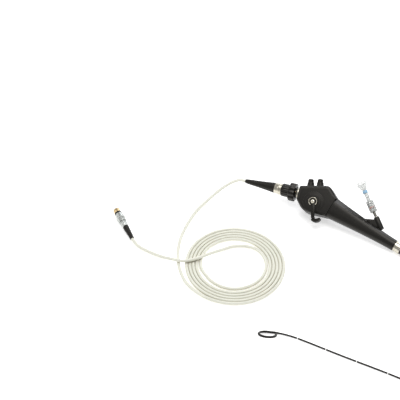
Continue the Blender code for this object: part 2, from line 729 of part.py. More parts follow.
def make_buttons(buttons):
    """Two push buttons in cones on the body's sloping top, over the switch board."""
    for number, place in enumerate((-0.5, 0.5)):
        centre = (place * BUTTON_SPACING, 0, 0)
        bore = BUTTON_CAP_R + RUNNING_GAP
        guide = turned(
            f"button_guide_{number + 1}",
            [(bore, BUTTON_GUIDE_HEIGHT - 0.4 * MM), (bore + 0.2 * MM, BUTTON_GUIDE_HEIGHT),
             (BUTTON_GUIDE_TOP_R, BUTTON_GUIDE_HEIGHT),
             (BUTTON_GUIDE_R, 1.2 * MM), (BUTTON_GUIDE_R, GAP), (bore, GAP)],
            buttons, BLACK_RUBBER, 14,
        )
        guide.location = centre
        foot = BUTTON_TRAVEL + GAP + 0.6 * MM
        stem_foot = -(BOARD_DEPTH - SWITCH_HEIGHT - BUTTON_TRAVEL - GAP)
        cap = turned(
            f"button_cap_{number + 1}",
            [(0, BUTTON_HEIGHT - 0.4 * MM), (BUTTON_CAP_R * 0.55, BUTTON_HEIGHT - 0.4 * MM),
             (BUTTON_CAP_R * 0.7, BUTTON_HEIGHT), (BUTTON_CAP_R * 0.9, BUTTON_HEIGHT - 0.5 * MM),
             (BUTTON_CAP_R, BUTTON_HEIGHT - 1.6 * MM), (BUTTON_CAP_R, foot),
             (BUTTON_STEM_R, foot), (BUTTON_STEM_R, stem_foot), (0, stem_foot)],
            buttons, BLACK_KNOB, 14,
        )
        cap.location = centre
    half_length, half_width = BOARD_LENGTH / 2, BOARD_WIDTH / 2
    outline = [(-half_length, -half_width), (half_length, -half_width),
               (half_length, half_width), (-half_length, half_width)]
    board = add_object(
        "switch_board",
        prism_mesh(outline, -BOARD_DEPTH - BOARD_THICK, -BOARD_DEPTH), buttons, BOARD_GREEN,
    )
    for number, place in enumerate((-0.5, 0.5)):
        switch = turned(
            f"switch_{number}",
            [(0, -BOARD_DEPTH + SWITCH_HEIGHT), (SWITCH_R * 0.6, -BOARD_DEPTH + SWITCH_HEIGHT),
             (SWITCH_R, -BOARD_DEPTH + SWITCH_HEIGHT * 0.6), (SWITCH_R, -BOARD_DEPTH - 0.5 * MM),
             (0, -BOARD_DEPTH - 0.5 * MM)],
            buttons, None, 12,
        )
        switch.location = (place * BUTTON_SPACING, 0, 0)
        combine(board, switch, "UNION")


def make_grip(parent, port, grip_axis):
    """The tapered grip with its channel port, the tube inside, ferrule and protector."""
    shares = [(index / (GRIP_SECTIONS - 1)) ** 0.85 for index in range(GRIP_SECTIONS)]
    outer = [grip_ring(share) for share in shares]
    inner = [grip_ring(share, BODY_WALL) for share in reversed(shares)]
    grip = add_object("grip_shell", loft_mesh(outer + inner, closed_tube=True), parent, BLACK_SHELL)

    mouth_x, mouth_y = PORT_MOUTH.x, PORT_MOUTH.y
    away = Vector((math.cos(PORT_ANGLE), math.sin(PORT_ANGLE)))
    across = Vector((away.y, -away.x))
    corner = PORT_MOUTH.xy - across * (PORT_R - 0.8 * MM) - away * 1.5 * MM
    root = PORT_MOUTH.xy - away * (PORT_LENGTH - 4 * MM)
    wall_y = GRIP_Y + grip_half_sizes((mouth_x - 18 * MM - SEAM_X) / GRIP_LENGTH)[0]
    web_outline = [
        (mouth_x - 18 * MM, wall_y - 1.4 * MM), (corner.x, corner.y), (root.x, root.y),
        (mouth_x, wall_y - 2.4 * MM),
    ]
    web = add_object(
        "port_web", prism_mesh(web_outline, -WEB_THICK / 2, WEB_THICK / 2), parent, None,
    )
    combine(grip, web, "UNION")
    housing = turned(
        "port_housing",
        [(0, 0), (PORT_R - 0.4 * MM, 0), (PORT_R, -0.4 * MM),
         (PORT_R, -PORT_LENGTH), (0, -PORT_LENGTH)],
        port, None, 16,
    )
    combine(grip, housing, "UNION")
    drill(grip, "port_bore", port, PORT_BORE_R, -PORT_LENGTH - 2 * MM, 2 * MM)

    end = SEAM_X + GRIP_LENGTH
    tube_bore = INNER_TUBE_R - INNER_TUBE_WALL
    tube_start, tube_end = SEAM_X + 6 * MM, end - 4 * MM
    turned(
        "inner_tube",
        [(tube_bore, tube_end), (INNER_TUBE_R, tube_end), (INNER_TUBE_R, tube_start),
         (tube_bore, tube_start)],
        grip_axis, STEEL, 14,
    )
    bore = INNER_TUBE_R + GAP
    spigot = GRIP_END_R - BODY_WALL - GAP
    face = end + GAP
    turned(
        "distal_ferrule",
        [(bore, face + FERRULE_LENGTH), (FERRULE_R - 0.5 * MM, face + FERRULE_LENGTH),
         (FERRULE_R, face + FERRULE_LENGTH - 0.5 * MM), (FERRULE_R, face + FERRULE_LENGTH - 3 * MM),
         (FERRULE_R - 0.5 * MM, face + FERRULE_LENGTH - 3.4 * MM),
         (FERRULE_R - 0.5 * MM, face + 0.5 * MM), (FERRULE_R - 0.8 * MM, face),
         (spigot, face), (spigot, face - FERRULE_SPIGOT), (bore, face - FERRULE_SPIGOT)],
        grip_axis, SILVER, 16,
    )
    foot = face + FERRULE_LENGTH + GAP
    tip = foot + PROTECTOR_LENGTH
    seat = TUBE_R + GAP
    turned(
        "bend_protector",
        [(0, tip - CABLE_SEAT - 2 * GAP), (seat, tip - CABLE_SEAT - 2 * GAP), (seat, tip),
         (PROTECTOR_TIP_R - 0.3 * MM, tip), (PROTECTOR_TIP_R, tip - 0.5 * MM),
         (PROTECTOR_TIP_R + 0.6 * MM, tip - PROTECTOR_LENGTH * 0.25),
         (PROTECTOR_TIP_R + 1.9 * MM, tip - PROTECTOR_LENGTH * 0.55),
         (PROTECTOR_R - 1.2 * MM, foot + PROTECTOR_LENGTH * 0.16),
         (PROTECTOR_R, foot + 3 * MM), (PROTECTOR_R, foot), (INNER_TUBE_R, foot),
         (INNER_TUBE_R, foot - 8 * MM), (0, foot - 8 * MM)],
        grip_axis, BLACK_RUBBER, 14,
    )
    return tip


def lobed_outline(radius, scallop, lobes, steps=4):
    """A round outline whose rim dips by the scallop between its lobes."""
    count = lobes * steps
    return [
        (
            (radius - scallop * math.cos(math.pi * index / steps) ** 4)
            * math.cos(2 * math.pi * index / count),
            (radius - scallop * math.cos(math.pi * index / steps) ** 4)
            * math.sin(2 * math.pi * index / count),
        )
        for index in range(count)
    ]


def lobed_ring(name, outline, bottom, top, parent, look, edge):
    bm = prism_mesh(outline, bottom, top)
    rims = [
        item for item in bm.edges
        if abs(item.verts[0].co.z - item.verts[1].co.z) < 0.01 * MM
    ]
    bevel_edges(bm, rims, edge, 1)
    return add_object(name, bm, parent, look)


def make_port_pieces(port):
    """The metal post in the port and the clear adaptor that screws onto it."""
    bore = 1.2 * MM
    threads = []
    for turn in range(THREAD_TURNS):
        high = THREAD_TOP - turn * THREAD_PITCH
        threads += [(POST_STUB_R, high), (POST_STUB_R + THREAD_RIDGE, high - THREAD_WIDTH / 2),
                    (POST_STUB_R, high - THREAD_WIDTH)]
    turned(
        "port_fitting",
        [(bore, POST_STUB_TOP), (POST_STUB_R - 0.3 * MM, POST_STUB_TOP),
         (POST_STUB_R, POST_STUB_TOP - 0.6 * MM), *threads,
         (POST_STUB_R, 1.5 * MM), (PORT_R - 0.5 * MM, 1.5 * MM), (PORT_R - 0.5 * MM, GAP),
         (PORT_BORE_R - GAP, GAP), (PORT_BORE_R - GAP, -12 * MM), (bore, -12 * MM)],
        port, STEEL, 12,
    )
    stem_foot = COLLAR_FOOT + 1 * MM
    stem_top = SEAL_BAND_FOOT + SEAL_BAND_LENGTH / 2
    stem_flange_r = STEM_R + 0.9 * MM
    turned(
        "adaptor_stem",
        [(STEM_BORE_R, stem_top), (STEM_R, stem_top), (STEM_R, stem_foot + 1.6 * MM),
         (stem_flange_r, stem_foot + 1.6 * MM), (stem_flange_r, stem_foot),
         (STEM_BORE_R, stem_foot)],
        port, CLEAR, 14,
    )
    ring_mid = O_RING_FOOT + O_RING_WIRE_R
    ring_r = STEM_R + GAP + O_RING_WIRE_R
    wire = [
        (ring_r + O_RING_WIRE_R * math.cos(angle), ring_mid + O_RING_WIRE_R * math.sin(angle))
        for angle in (2 * math.pi * step / 5 for step in range(5))
    ]
    turned("o_ring", wire, port, SEAL_RED, 14)
    band_top = SEAL_BAND_FOOT + SEAL_BAND_LENGTH
    turned(
        "seal_band",
        [(STEM_R + GAP, band_top), (SEAL_BAND_R - 0.3 * MM, band_top),
         (SEAL_BAND_R, band_top - 0.3 * MM), (SEAL_BAND_R, SEAL_BAND_FOOT + 0.3 * MM),
         (SEAL_BAND_R - 0.3 * MM, SEAL_BAND_FOOT), (STEM_R + GAP, SEAL_BAND_FOOT)],
        port, SEAL_BLUE, 14,
    )
    funnel_foot = stem_top + GAP
    neck = band_top + 1.2 * MM
    turned(
        "adaptor_funnel",
        [(FUNNEL_R - FUNNEL_WALL, ADAPTOR_LENGTH), (FUNNEL_R, ADAPTOR_LENGTH),
         (FUNNEL_R, ADAPTOR_LENGTH - 1.4 * MM), (FUNNEL_R - 0.8 * MM, ADAPTOR_LENGTH - 2.0 * MM),
         (SEAL_BAND_R + 0.9 * MM, neck + 1.4 * MM), (STEM_R, neck), (STEM_R, funnel_foot),
         (STEM_BORE_R, funnel_foot), (STEM_BORE_R, neck + 0.4 * MM),
         (SEAL_BAND_R - 0.2 * MM, neck + 2.2 * MM)],
        port, CLEAR, 14,
    )
    spin = axis_empty("adaptor_collar_axis", port, (0, 0, 0))
    collar_top = COLLAR_FOOT + COLLAR_LENGTH
    collar = lobed_ring(
        "adaptor_collar", lobed_outline(COLLAR_R, 0.5 * MM, 10, 2), COLLAR_FOOT, collar_top,
        spin, CLEAR, 0.5 * MM,
    )
    room = stem_flange_r + GAP
    neck_bore = STEM_R + GAP
    shelf = collar_top - 2.4 * MM
    inside = turned(
        "adaptor_collar_bore",
        [(0, collar_top + MM), (neck_bore, collar_top + MM), (neck_bore, shelf),
         (room + 0.5 * MM, shelf - 1 * MM), (room + 0.5 * MM, COLLAR_FOOT - MM),
         (0, COLLAR_FOOT - MM)],
        spin, None, 14,
    )
    combine(collar, inside)


def make_cable_end(nose):
    """The socket on the body, its lobed coupling, and the cable's collar, ferrule and boot."""
    turned(
        "body_collar",
        [(NECK_BORE_R + 1.3 * MM, COLLAR_RING_LENGTH + GAP),
         (COLLAR_RING_R - 0.5 * MM, COLLAR_RING_LENGTH + GAP),
         (COLLAR_RING_R, COLLAR_RING_LENGTH - 0.2 * MM), (COLLAR_RING_R, GAP + 0.5 * MM),
         (COLLAR_RING_R - 0.5 * MM, GAP), (NECK_BORE_R + 1.3 * MM, GAP)],
        nose, SILVER, 16,
    )
    neck_foot = COLLAR_RING_LENGTH + 2 * GAP
    neck_top = neck_foot + NECK_LENGTH
    neck = turned(
        "socket_neck",
        [(NECK_BORE_R - MM, neck_top), (NECK_R, neck_top), (NECK_R, neck_foot),
         (NECK_BORE_R + MM, neck_foot), (NECK_BORE_R + MM, -3.5 * MM), (NECK_BORE_R - MM, -3.5 * MM)],
        nose, BLACK_KNOB, 16,
    )
    pin_r = 0.8 * MM
    pin_place = neck_foot + 2 * MM
    seat = turned(
        "index_pin_seat",
        [(0, NECK_R + MM), (pin_r + GAP / 2, NECK_R + MM), (pin_r + GAP / 2, NECK_R - 1.5 * MM),
         (0, NECK_R - 1.5 * MM)],
        nose, None, 8,
    )
    pin = turned(
        "index_pin",
        [(0, NECK_R + 0.6 * MM), (pin_r * 0.7, NECK_R + 0.6 * MM), (pin_r, NECK_R + 0.3 * MM),
         (pin_r, NECK_R - 1.3 * MM), (0, NECK_R - 1.3 * MM)],
        nose, BRASS, 8,
    )
    for piece in (seat, pin):
        piece.location = (0, 0, pin_place)
        piece.rotation_euler = (0, math.pi / 2, 0)
    combine(neck, seat)

    spin = axis_empty("coupling_axis", nose, (0, 0, 0))
    coupling_top = COUPLING_FOOT + COUPLING_LENGTH
    coupling = lobed_ring(
        "coupling_ring", lobed_outline(COUPLING_R, COUPLING_SCALLOP, COUPLING_LOBES, 4),
        COUPLING_FOOT, coupling_top, spin, BLACK_KNOB, 0.9 * MM,
    )
    drill(
        coupling, "coupling_bore", spin, NECK_R + RUNNING_GAP,
        COUPLING_FOOT - MM, coupling_top + MM, segments=24,
    )

    collar_foot = coupling_top + GAP
    collar_top = collar_foot + CABLE_COLLAR_LENGTH
    collar = lobed_ring(
        "cable_collar", lobed_outline(CABLE_COLLAR_R, RIB_DEPTH, CABLE_COLLAR_RIBS, 2),
        collar_foot, collar_top, nose, BLACK_RUBBER, 0.5 * MM,
    )
    spigot = turned(
        "cable_collar_spigot",
        [(0, collar_foot + MM), (NECK_R, collar_foot + MM), (NECK_R, neck_top + GAP),
         (0, neck_top + GAP)],
        nose, None, 14,
    )
    combine(collar, spigot, "UNION")

    foot = collar_top + GAP
    top = foot + CABLE_FERRULE_LENGTH
    turned(
        "cable_ferrule",
        [(0, top), (BOOT_R - 0.3 * MM, top), (BOOT_R, top - 0.3 * MM),
         (BOOT_R + 0.3 * MM, foot + CABLE_FERRULE_LENGTH * 0.55),
         (CABLE_FERRULE_R - 0.3 * MM, foot + CABLE_FERRULE_LENGTH * 0.5),
         (CABLE_FERRULE_R, foot + 0.5 * MM), (CABLE_FERRULE_R - 0.5 * MM, foot), (0, foot)],
        nose, SILVER, 16,
    )
    foot = top + GAP
    tip = foot + BOOT_LENGTH
    bore = CABLE_R + GAP
    turned(
        "cable_boot",
        [(0, tip - CABLE_SEAT - GAP), (bore, tip - CABLE_SEAT - GAP), (bore, tip - 0.2 * MM),
         (BOOT_TIP_R - 0.2 * MM, tip), (BOOT_TIP_R, tip - 0.5 * MM),
         (BOOT_TIP_R + 0.5 * MM, tip - 3 * MM),
         (BOOT_TIP_R + 2.6 * MM, foot + BOOT_LENGTH * 0.5),
         (BOOT_R - 0.2 * MM, foot + 2 * MM), (BOOT_R - 0.2 * MM, foot), (0, foot)],
        nose, BLACK_RUBBER, 14,
    )
    return tip


def world_matrix(empty):
    local = Matrix.Translation(empty.location) @ empty.rotation_euler.to_matrix().to_4x4()
    return world_matrix(empty.parent) @ local if empty.parent else local


def smooth_route(seat, points, step):
    """A straight start from the seat, then even steps along a smooth curve."""
    ends = [seat, *points, points[-1] * 2 - points[-2]]
    fine = []
    for before, start, end, after in zip(ends, ends[1:], ends[2:], ends[3:]):
        parts = 12
        for index in range(parts):
            t = index / parts
            fine.append(0.5 * (
                2 * start + (end - before) * t
                + (2 * before - 5 * start + 4 * end - after) * t ** 2
                + (3 * start - before - 3 * end + after) * t ** 3
            ))
    fine.append(points[-1])
    lengths = [(b - a).length for a, b in zip(fine, fine[1:])]
    count = max(2, round(sum(lengths) / step))
    even = sum(lengths) / count
    route, gone, wanted = [fine[0]], 0.0, even
    for (a, b), length in zip(zip(fine, fine[1:]), lengths):
        while gone + length >= wanted and len(route) < count:
            route.append(a.lerp(b, (wanted - gone) / length))
            wanted += even
        gone += length
    return [seat, *route, fine[-1]]


def cord(name, seat, points, radius, step, parent, look):
    curve = bpy.data.curves.new(name, "CURVE")
    curve.dimensions = "3D"
    curve.bevel_depth = radius
    curve.bevel_resolution = 2
    curve.use_fill_caps = True
    curve.materials.append(look)
    route = smooth_route(seat, points, step)
    spline = curve.splines.new("POLY")
    spline.points.add(len(route) - 1)
    for spot, place in zip(spline.points, route):
        spot.co = (*place, 1)
    obj = bpy.data.objects.new(name, curve)
    bpy.context.collection.objects.link(obj)
    obj.parent = parent
    return obj


def millimetres(points):
    return [Vector(point) * MM for point in points]


def make_camera_cable(table, nose, boot_tip, plug):
    """Boot to coil, the coil itself, and coil to plug."""
    to_table = world_matrix(table).inverted()
    seat = to_table @ world_matrix(nose) @ Vector((0, 0, boot_tip - CABLE_SEAT))
    leaving = to_table @ world_matrix(nose) @ Vector((0, 0, boot_tip + LEAVING))
    cord(
        "cable_lead_handle", seat, [leaving, *millimetres(HANDLE_LEAD)], CABLE_R,
        CABLE_STEP, table, IVORY,
    )
    inner = COIL_R - COIL_TURNS * COIL_PITCH
    high, edge = 2 * CABLE_R, 1.4 * MM
    coil = turned(
        "cable_coil",
        [(inner + edge, high), (COIL_R - edge, high), (COIL_R, high - edge), (COIL_R, edge),
         (COIL_R - edge, 0), (inner + edge, 0), (inner, edge), (inner, high - edge)],
        table, IVORY, 30,
    )
    coil.location = COIL_PLACE
    seat = to_table @ world_matrix(plug) @ Vector((0, 0, CABLE_SEAT))
    leaving = to_table @ world_matrix(plug) @ Vector((0, 0, -LEAVING))
    cord(
        "cable_lead_plug", seat, [leaving, *millimetres(PLUG_LEAD)], CABLE_R,
        CABLE_STEP, table, IVORY,
    )


def make_plug(plug):
    """Strain relief, back nut, barrel, locking sleeve, seal and contact nose."""
    bore = CABLE_R + GAP
    turned(
        "plug_relief",
        [(0, CABLE_SEAT + GAP), (bore, CABLE_SEAT + GAP), (bore, 0.1 * MM),
         (RELIEF_TIP_R - 0.1 * MM, 0), (RELIEF_TIP_R, 0.4 * MM),
         (RELIEF_R, RELIEF_LENGTH - 2 * MM), (RELIEF_R - 0.4 * MM, RELIEF_LENGTH),
         (0, RELIEF_LENGTH)],
        plug, BLACK_RUBBER, 14,
    )
    foot = RELIEF_LENGTH + GAP
    top = foot + NUT_LENGTH
    turned(
        "plug_nut",
        [(0, top), (NUT_R - 0.4 * MM, top), (NUT_R, top - 0.4 * MM), (NUT_R, top - 3 * MM),
         (NUT_R - 0.7 * MM, top - 3.6 * MM), (RELIEF_R + 0.1 * MM, foot + 0.4 * MM),
         (RELIEF_R - 0.3 * MM, foot), (0, foot)],
        plug, STEEL, 12,
    )
    barrel_foot = top + GAP
    barrel_top = barrel_foot + BARREL_LENGTH
    turned(
        "plug_barrel",
        [(0, barrel_top), (BARREL_R, barrel_top), (BARREL_R, barrel_foot + MM),
         (BARREL_R + 0.8 * MM, barrel_foot + MM), (BARREL_R + 0.8 * MM, barrel_foot),
         (0, barrel_foot)],
        plug, STEEL, 14,
    )
    sleeve_axis = axis_empty("plug_sleeve_axis", plug, (0, 0, 0))
    low = barrel_foot + MM + SLEEVE_TRAVEL + GAP
    high = low + SLEEVE_LENGTH
    hole = BARREL_R + GAP
    turned(
        "plug_sleeve",
        [(hole, high), (PLUG_SEAL_R - 0.4 * MM, high), (PLUG_SEAL_R, high - 0.4 * MM),
         (PLUG_SEAL_R + 0.4 * MM, high - 5 * MM), (SLEEVE_R - 0.4 * MM, low + 8.4 * MM),
         (SLEEVE_R, low + 7.8 * MM), (SLEEVE_R, low + 6.4 * MM),
         (SLEEVE_R - 0.8 * MM, low + 5.8 * MM), (NUT_R + 0.3 * MM, low), (hole, low)],
        sleeve_axis, STEEL, 14,
    )
    seal_top = barrel_top - GAP
    turned(
        "plug_seal",
        [(hole, seal_top), (PLUG_SEAL_R - 0.4 * MM, seal_top),
         (PLUG_SEAL_R, seal_top - 0.4 * MM), (PLUG_SEAL_R, seal_top - PLUG_SEAL_LENGTH),
         (hole, seal_top - PLUG_SEAL_LENGTH)],
        plug, BLACK_RUBBER, 14,
    )
    nose_foot = barrel_top + GAP
    nose_top = nose_foot + PLUG_NOSE_LENGTH
    rim = PLUG_NOSE_R - MM
    turned(
        "plug_contacts",
        [(0, nose_top - 2 * MM), (rim, nose_top - 2 * MM), (rim, nose_top),
         (PLUG_NOSE_R - 0.2 * MM, nose_top), (PLUG_NOSE_R, nose_top - 0.3 * MM),
         (PLUG_NOSE_R, nose_foot), (0, nose_foot)],
        plug, BRASS, 14,
    )


def make_insertion_tube(table, grip_axis, protector_tip, bend):
    to_table = world_matrix(table).inverted()
    seat = to_table @ world_matrix(grip_axis) @ Vector((0, 0, protector_tip - CABLE_SEAT))
    leaving = to_table @ world_matrix(grip_axis) @ Vector((0, 0, protector_tip + LEAVING))
    end = to_table @ world_matrix(bend) @ Vector((0, 0, -BASE_LENGTH - GAP))
    cord(
        "insertion_tube", seat, [leaving, *millimetres(TUBE_ROUTE), end], TUBE_R,
        TUBE_STEP, table, TUBE_GREY,
    )


def ear_outline(reach):
    """A hinge ear seen along its rivet: round at the rivet, square at its root."""
    rounds = arc_points((0, 0), EAR_R, 0, reach * math.pi, 3)
    root = -reach * (LINK_END_GAP + EAR_ROOT)
    return [*rounds, (-EAR_R, root), (EAR_R, root)]


def add_hinge_ears(target, parent, place, outer):
    """Outer ears carry a rivet stub; inner ears have the hole that it turns in."""
    inner_top = EAR_TOP - EAR_THICK - EAR_GAP
    top = EAR_TOP if outer else inner_top
    outline = ear_outline(1 if outer else -1)
    for side in (-1, 1):
        name = f"{target.name}_{'outer' if outer else 'inner'}_{side}"
        ear = prism_mesh(outline, top - EAR_THICK, top)
        turn = Matrix(((0, 0, side), (1, 0, 0), (0, 1, 0))).to_4x4()
        bmesh.ops.transform(ear, matrix=Matrix.Translation((0, 0, place)) @ turn, verts=ear.verts)
        combine(target, add_object(name, ear, parent, None), "UNION")
        if outer:
            radius, high, low = RIVET_R, top - EAR_THICK / 2, inner_top - EAR_THICK
        else:
            radius, high, low = RIVET_R + EAR_GAP, top + EAR_THICK, top - 2 * EAR_THICK
        profile = [(0, high), (radius, high), (radius, low), (0, low)]
        pin = turned(name + "_pin", profile, parent, None, 5)
        pin.location = (0, 0, place)
        pin.rotation_euler = (0, side * math.pi / 2, 0)
        combine(target, pin, "UNION" if outer else "DIFFERENCE")


def flat_sided_ring(name, low, high, parent):
    """A short tube with a flat side facing each hinge ear."""
    angles = [2 * math.pi * (step + 0.5) / LINK_SIDES for step in range(LINK_SIDES)]
    loops = [
        [Vector((radius * math.cos(angle), radius * math.sin(angle), height))
         for angle in angles]
        for radius, height in (
            (LINK_R, low), (LINK_R, high), (LINK_BORE_R, high), (LINK_BORE_R, low),
        )
    ]
    return add_object(name, loft_mesh(loops, closed_tube=True), parent, STEEL)


def make_bending_section(bend):
    """A base ring, equal links, the tip and the rubber cover over them."""
    base = flat_sided_ring("bend_base", -BASE_LENGTH, -LINK_END_GAP, bend)
    add_hinge_ears(base, bend, 0, True)

    axes = [bend]
    for number in range(LINKS + 1):
        place = (0, 0, LINK_PITCH if number else 0)
        axes.append(axis_empty(f"bend_axis_{number + 1:02d}", axes[-1], place, (LINK_TURN, 0, 0)))
    first = flat_sided_ring("link_01", LINK_END_GAP, LINK_PITCH - LINK_END_GAP, axes[1])
    add_hinge_ears(first, axes[1], LINK_PITCH, True)
    add_hinge_ears(first, axes[1], 0, False)
    bpy.context.view_layer.update()
    shared = bpy.data.meshes.new_from_object(
        first.evaluated_get(bpy.context.evaluated_depsgraph_get())
    )
    for number in range(2, LINKS + 1):
        link = bpy.data.objects.new(f"link_{number:02d}", shared)
        bpy.context.collection.objects.link(link)
        link.parent = axes[number]

    head = axes[-1]
    tip = turned(
        "distal_tip",
        [(0, TIP_LENGTH), (TIP_R - 0.3 * MM, TIP_LENGTH), (TIP_R, TIP_LENGTH - 0.5 * MM),
         (TIP_R, TIP_SHOULDER), (LINK_R, TIP_SHOULDER), (LINK_R, LINK_END_GAP),
         (LINK_BORE_R, LINK_END_GAP), (LINK_BORE_R, TIP_SHOULDER - MM), (0, TIP_SHOULDER - MM)],
        head, STEEL, 12,
    )
    add_hinge_ears(tip, head, 0, False)
    drill(tip, "tip_channel", head, CHANNEL_R, TIP_SHOULDER - 2 * MM, TIP_LENGTH + MM,
          (0, -0.5 * MM), 8)
    lens_place = (0, 0.65 * MM)
    lens_foot = TIP_LENGTH - 0.8 * MM
    drill(tip, "tip_lens_seat", head, LENS_R + EAR_GAP, lens_foot - EAR_GAP, TIP_LENGTH + MM,
          lens_place, 8)
    lens = turned(
        "tip_lens",
        [(0, TIP_LENGTH), (LENS_R, TIP_LENGTH - 0.1 * MM), (LENS_R, lens_foot), (0, lens_foot)],
        head, LENS_GLASS, 8,
    )
    lens.location = (*lens_place, 0)

    stations = [(Matrix.Translation((0, 0, -BASE_LENGTH)), 1.0)]
    way = Matrix.Identity(4)
    half_turn = Matrix.Rotation(LINK_TURN / 2, 4, "X")
    for number in range(LINKS + 1):
        if number:
            way = way @ Matrix.Translation((0, 0, LINK_PITCH))
        way = way @ half_turn
        stations.append((way.copy(), 1 / math.cos(LINK_TURN / 2)))
        way = way @ half_turn
    stations.append((way @ Matrix.Translation((0, 0, TIP_SHOULDER - GAP)), 1.0))

    def cover_loops(radius):
        return [
            [
                station @ Vector((
                    radius * math.cos(angle), radius * math.sin(angle) * stretch, 0,
                ))
                for angle in (2 * math.pi * step / 8 for step in range(8))
            ]
            for station, stretch in stations
        ]

    outer = cover_loops(COVER_R)
    inner = cover_loops(COVER_R - COVER_WALL)
    add_object(
        "bending_cover", loft_mesh(outer + inner[::-1], closed_tube=True), bend, BLACK_RUBBER,
    )


def frame_empty(name, parent, location, angle):
    """Axes whose z points at an angle in the handle's flat plane, with x towards the hub."""
    along = Vector((math.cos(angle), math.sin(angle), 0))
    aside = Vector((0, 0, 1))
    third = along.cross(aside)
    turn = Matrix((aside, third, along)).transposed()
    return axis_empty(name, parent, location, turn.to_euler())


def button_frame(handle):
    """Axes on the body's sloping top: x along the slope, z out of the body."""
    corners = body_corners()
    low, high = Vector(corners[6][:2]), Vector(corners[5][:2])
    along = (high - low).normalized()
    place = low + along * BUTTON_PLACE
    slope = Vector((along.x, along.y, 0))
    out = Vector((-along.y, along.x, 0))
    turn = Matrix((slope, out.cross(slope), out)).transposed()
    return axis_empty("button_axes", handle, (place.x, place.y, 0), turn.to_euler())


def bend_frame(table):
    """Axes at the first hinge: z along the tube, x along the hinge, -y into the curl."""
    heading = Vector((math.cos(BEND_HEADING), math.sin(BEND_HEADING), 0))
    left = Vector((-heading.y, heading.x, 0))
    inwards = left * math.cos(BEND_PLANE_TILT) + Vector((0, 0, math.sin(BEND_PLANE_TILT)))
    turn = Matrix((heading.cross(inwards), -inwards, heading)).transposed()
    return axis_empty("bend_axes", table, BEND_START, turn.to_euler())


def main():
    clear_scene()
    table = axis_empty("table_axes", None, TABLE_PLACE)
    lie = (HANDLE_ROLL, HANDLE_PITCH, HANDLE_YAW)
    handle = axis_empty("handle_axes", table, HUB_PLACE, lie)
    nose = frame_empty("nose_axes", handle, NOSE_CENTRE, NOSE_ANGLE)
    port = frame_empty("port_axes", handle, PORT_MOUTH, PORT_ANGLE)
    grip_axis = frame_empty("grip_axes", handle, Vector((0, GRIP_Y, 0)), 0)
    buttons = button_frame(handle)
    lever = axis_empty("lever_axis", handle, (0, 0, 0))
    make_body(handle, nose, buttons)
    make_chassis(handle)
    make_lever(lever)
    make_buttons(buttons)
    protector_tip = make_grip(handle, port, grip_axis)
    make_port_pieces(port)
    boot_tip = make_cable_end(nose)

    plug = axis_empty("plug_axes", table, PLUG_TAIL, PLUG_WAY.to_track_quat("Z", "Y").to_euler())
    make_plug(plug)
    make_camera_cable(table, nose, boot_tip, plug)
    bend = bend_frame(table)
    make_insertion_tube(table, grip_axis, protector_tip, bend)
    make_bending_section(bend)


main()
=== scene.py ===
"""Looks of the flexible endoscope: fine pieces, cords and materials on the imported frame."""

from math import atan2, cos, pi, radians, sin, tan

import bmesh
import bpy
from mathutils import Euler, Matrix, Vector


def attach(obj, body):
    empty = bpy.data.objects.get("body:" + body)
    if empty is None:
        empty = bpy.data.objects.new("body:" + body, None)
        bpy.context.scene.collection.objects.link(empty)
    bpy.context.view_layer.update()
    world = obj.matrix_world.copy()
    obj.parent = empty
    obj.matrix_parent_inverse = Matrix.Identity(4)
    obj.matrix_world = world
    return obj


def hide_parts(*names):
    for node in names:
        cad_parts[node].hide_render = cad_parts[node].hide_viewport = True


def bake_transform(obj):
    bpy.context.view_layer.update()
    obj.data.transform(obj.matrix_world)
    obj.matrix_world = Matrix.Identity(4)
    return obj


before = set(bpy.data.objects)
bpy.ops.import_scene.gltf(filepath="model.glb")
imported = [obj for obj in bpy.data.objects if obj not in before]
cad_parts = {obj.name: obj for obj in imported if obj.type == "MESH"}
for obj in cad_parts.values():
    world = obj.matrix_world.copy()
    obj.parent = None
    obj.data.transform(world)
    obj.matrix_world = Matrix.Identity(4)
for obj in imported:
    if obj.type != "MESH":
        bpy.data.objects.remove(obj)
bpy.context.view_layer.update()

# Lengths are in millimetres; the axes below turn them into the frame's metres
MM = 0.001
TO_METRES = Matrix.Scale(MM, 4)
GAP = 0.3
RUNNING_GAP = 0.4

# The same places as the part's source
TABLE_PLACE = Vector((-37.8, -22.5, 0))
HUB_PLACE = Vector((-3, 5.9, 22.91))
HANDLE_TURN = Euler((radians(36), radians(6.3), radians(2.3)))
NOSE_CENTRE = Vector((-33.6, 1.6, 0))
NOSE_ANGLE = radians(197.4)
PORT_MOUTH = Vector((103.5, 33, 0))
PORT_ANGLE = radians(145)
GRIP_Y = 8.5
SEAM_X = 30
GRIP_LENGTH = 125
PLUG_TAIL = Vector((-206.8, -241.1, 3.6))
PLUG_WAY = Vector((-66.1, 30.9, 7.1)).normalized()
BEND_START = Vector((87.6, -258.3, 2))
BEND_HEADING = radians(210.9)
BEND_PLANE_TILT = radians(34)
LINKS = 9
LINK_TURN = radians(27)
LINK_PITCH = 6.45
COUPLING_FOOT = 8.5
COUPLING_TOP = COUPLING_FOOT + 9.5
CABLE_COLLAR_FOOT = COUPLING_TOP + GAP
CABLE_COLLAR_TOP = CABLE_COLLAR_FOOT + 13.3
CABLE_FERRULE_FOOT = CABLE_COLLAR_TOP + GAP
CABLE_FERRULE_TOP = CABLE_FERRULE_FOOT + 13.3
BOOT_FOOT = CABLE_FERRULE_TOP + GAP
BOOT_LENGTH = 54.7
BOOT_TIP = BOOT_FOOT + BOOT_LENGTH
FERRULE_FOOT = SEAM_X + GRIP_LENGTH + GAP
FERRULE_LENGTH = 12
PROTECTOR_FOOT = FERRULE_FOOT + FERRULE_LENGTH + GAP
PROTECTOR_LENGTH = 45
PROTECTOR_TIP = PROTECTOR_FOOT + PROTECTOR_LENGTH


# Axes

def along_z(height):
    return Vector((0, 0, height))


def shift(x, y, z=0):
    return Matrix.Translation((x, y, z))


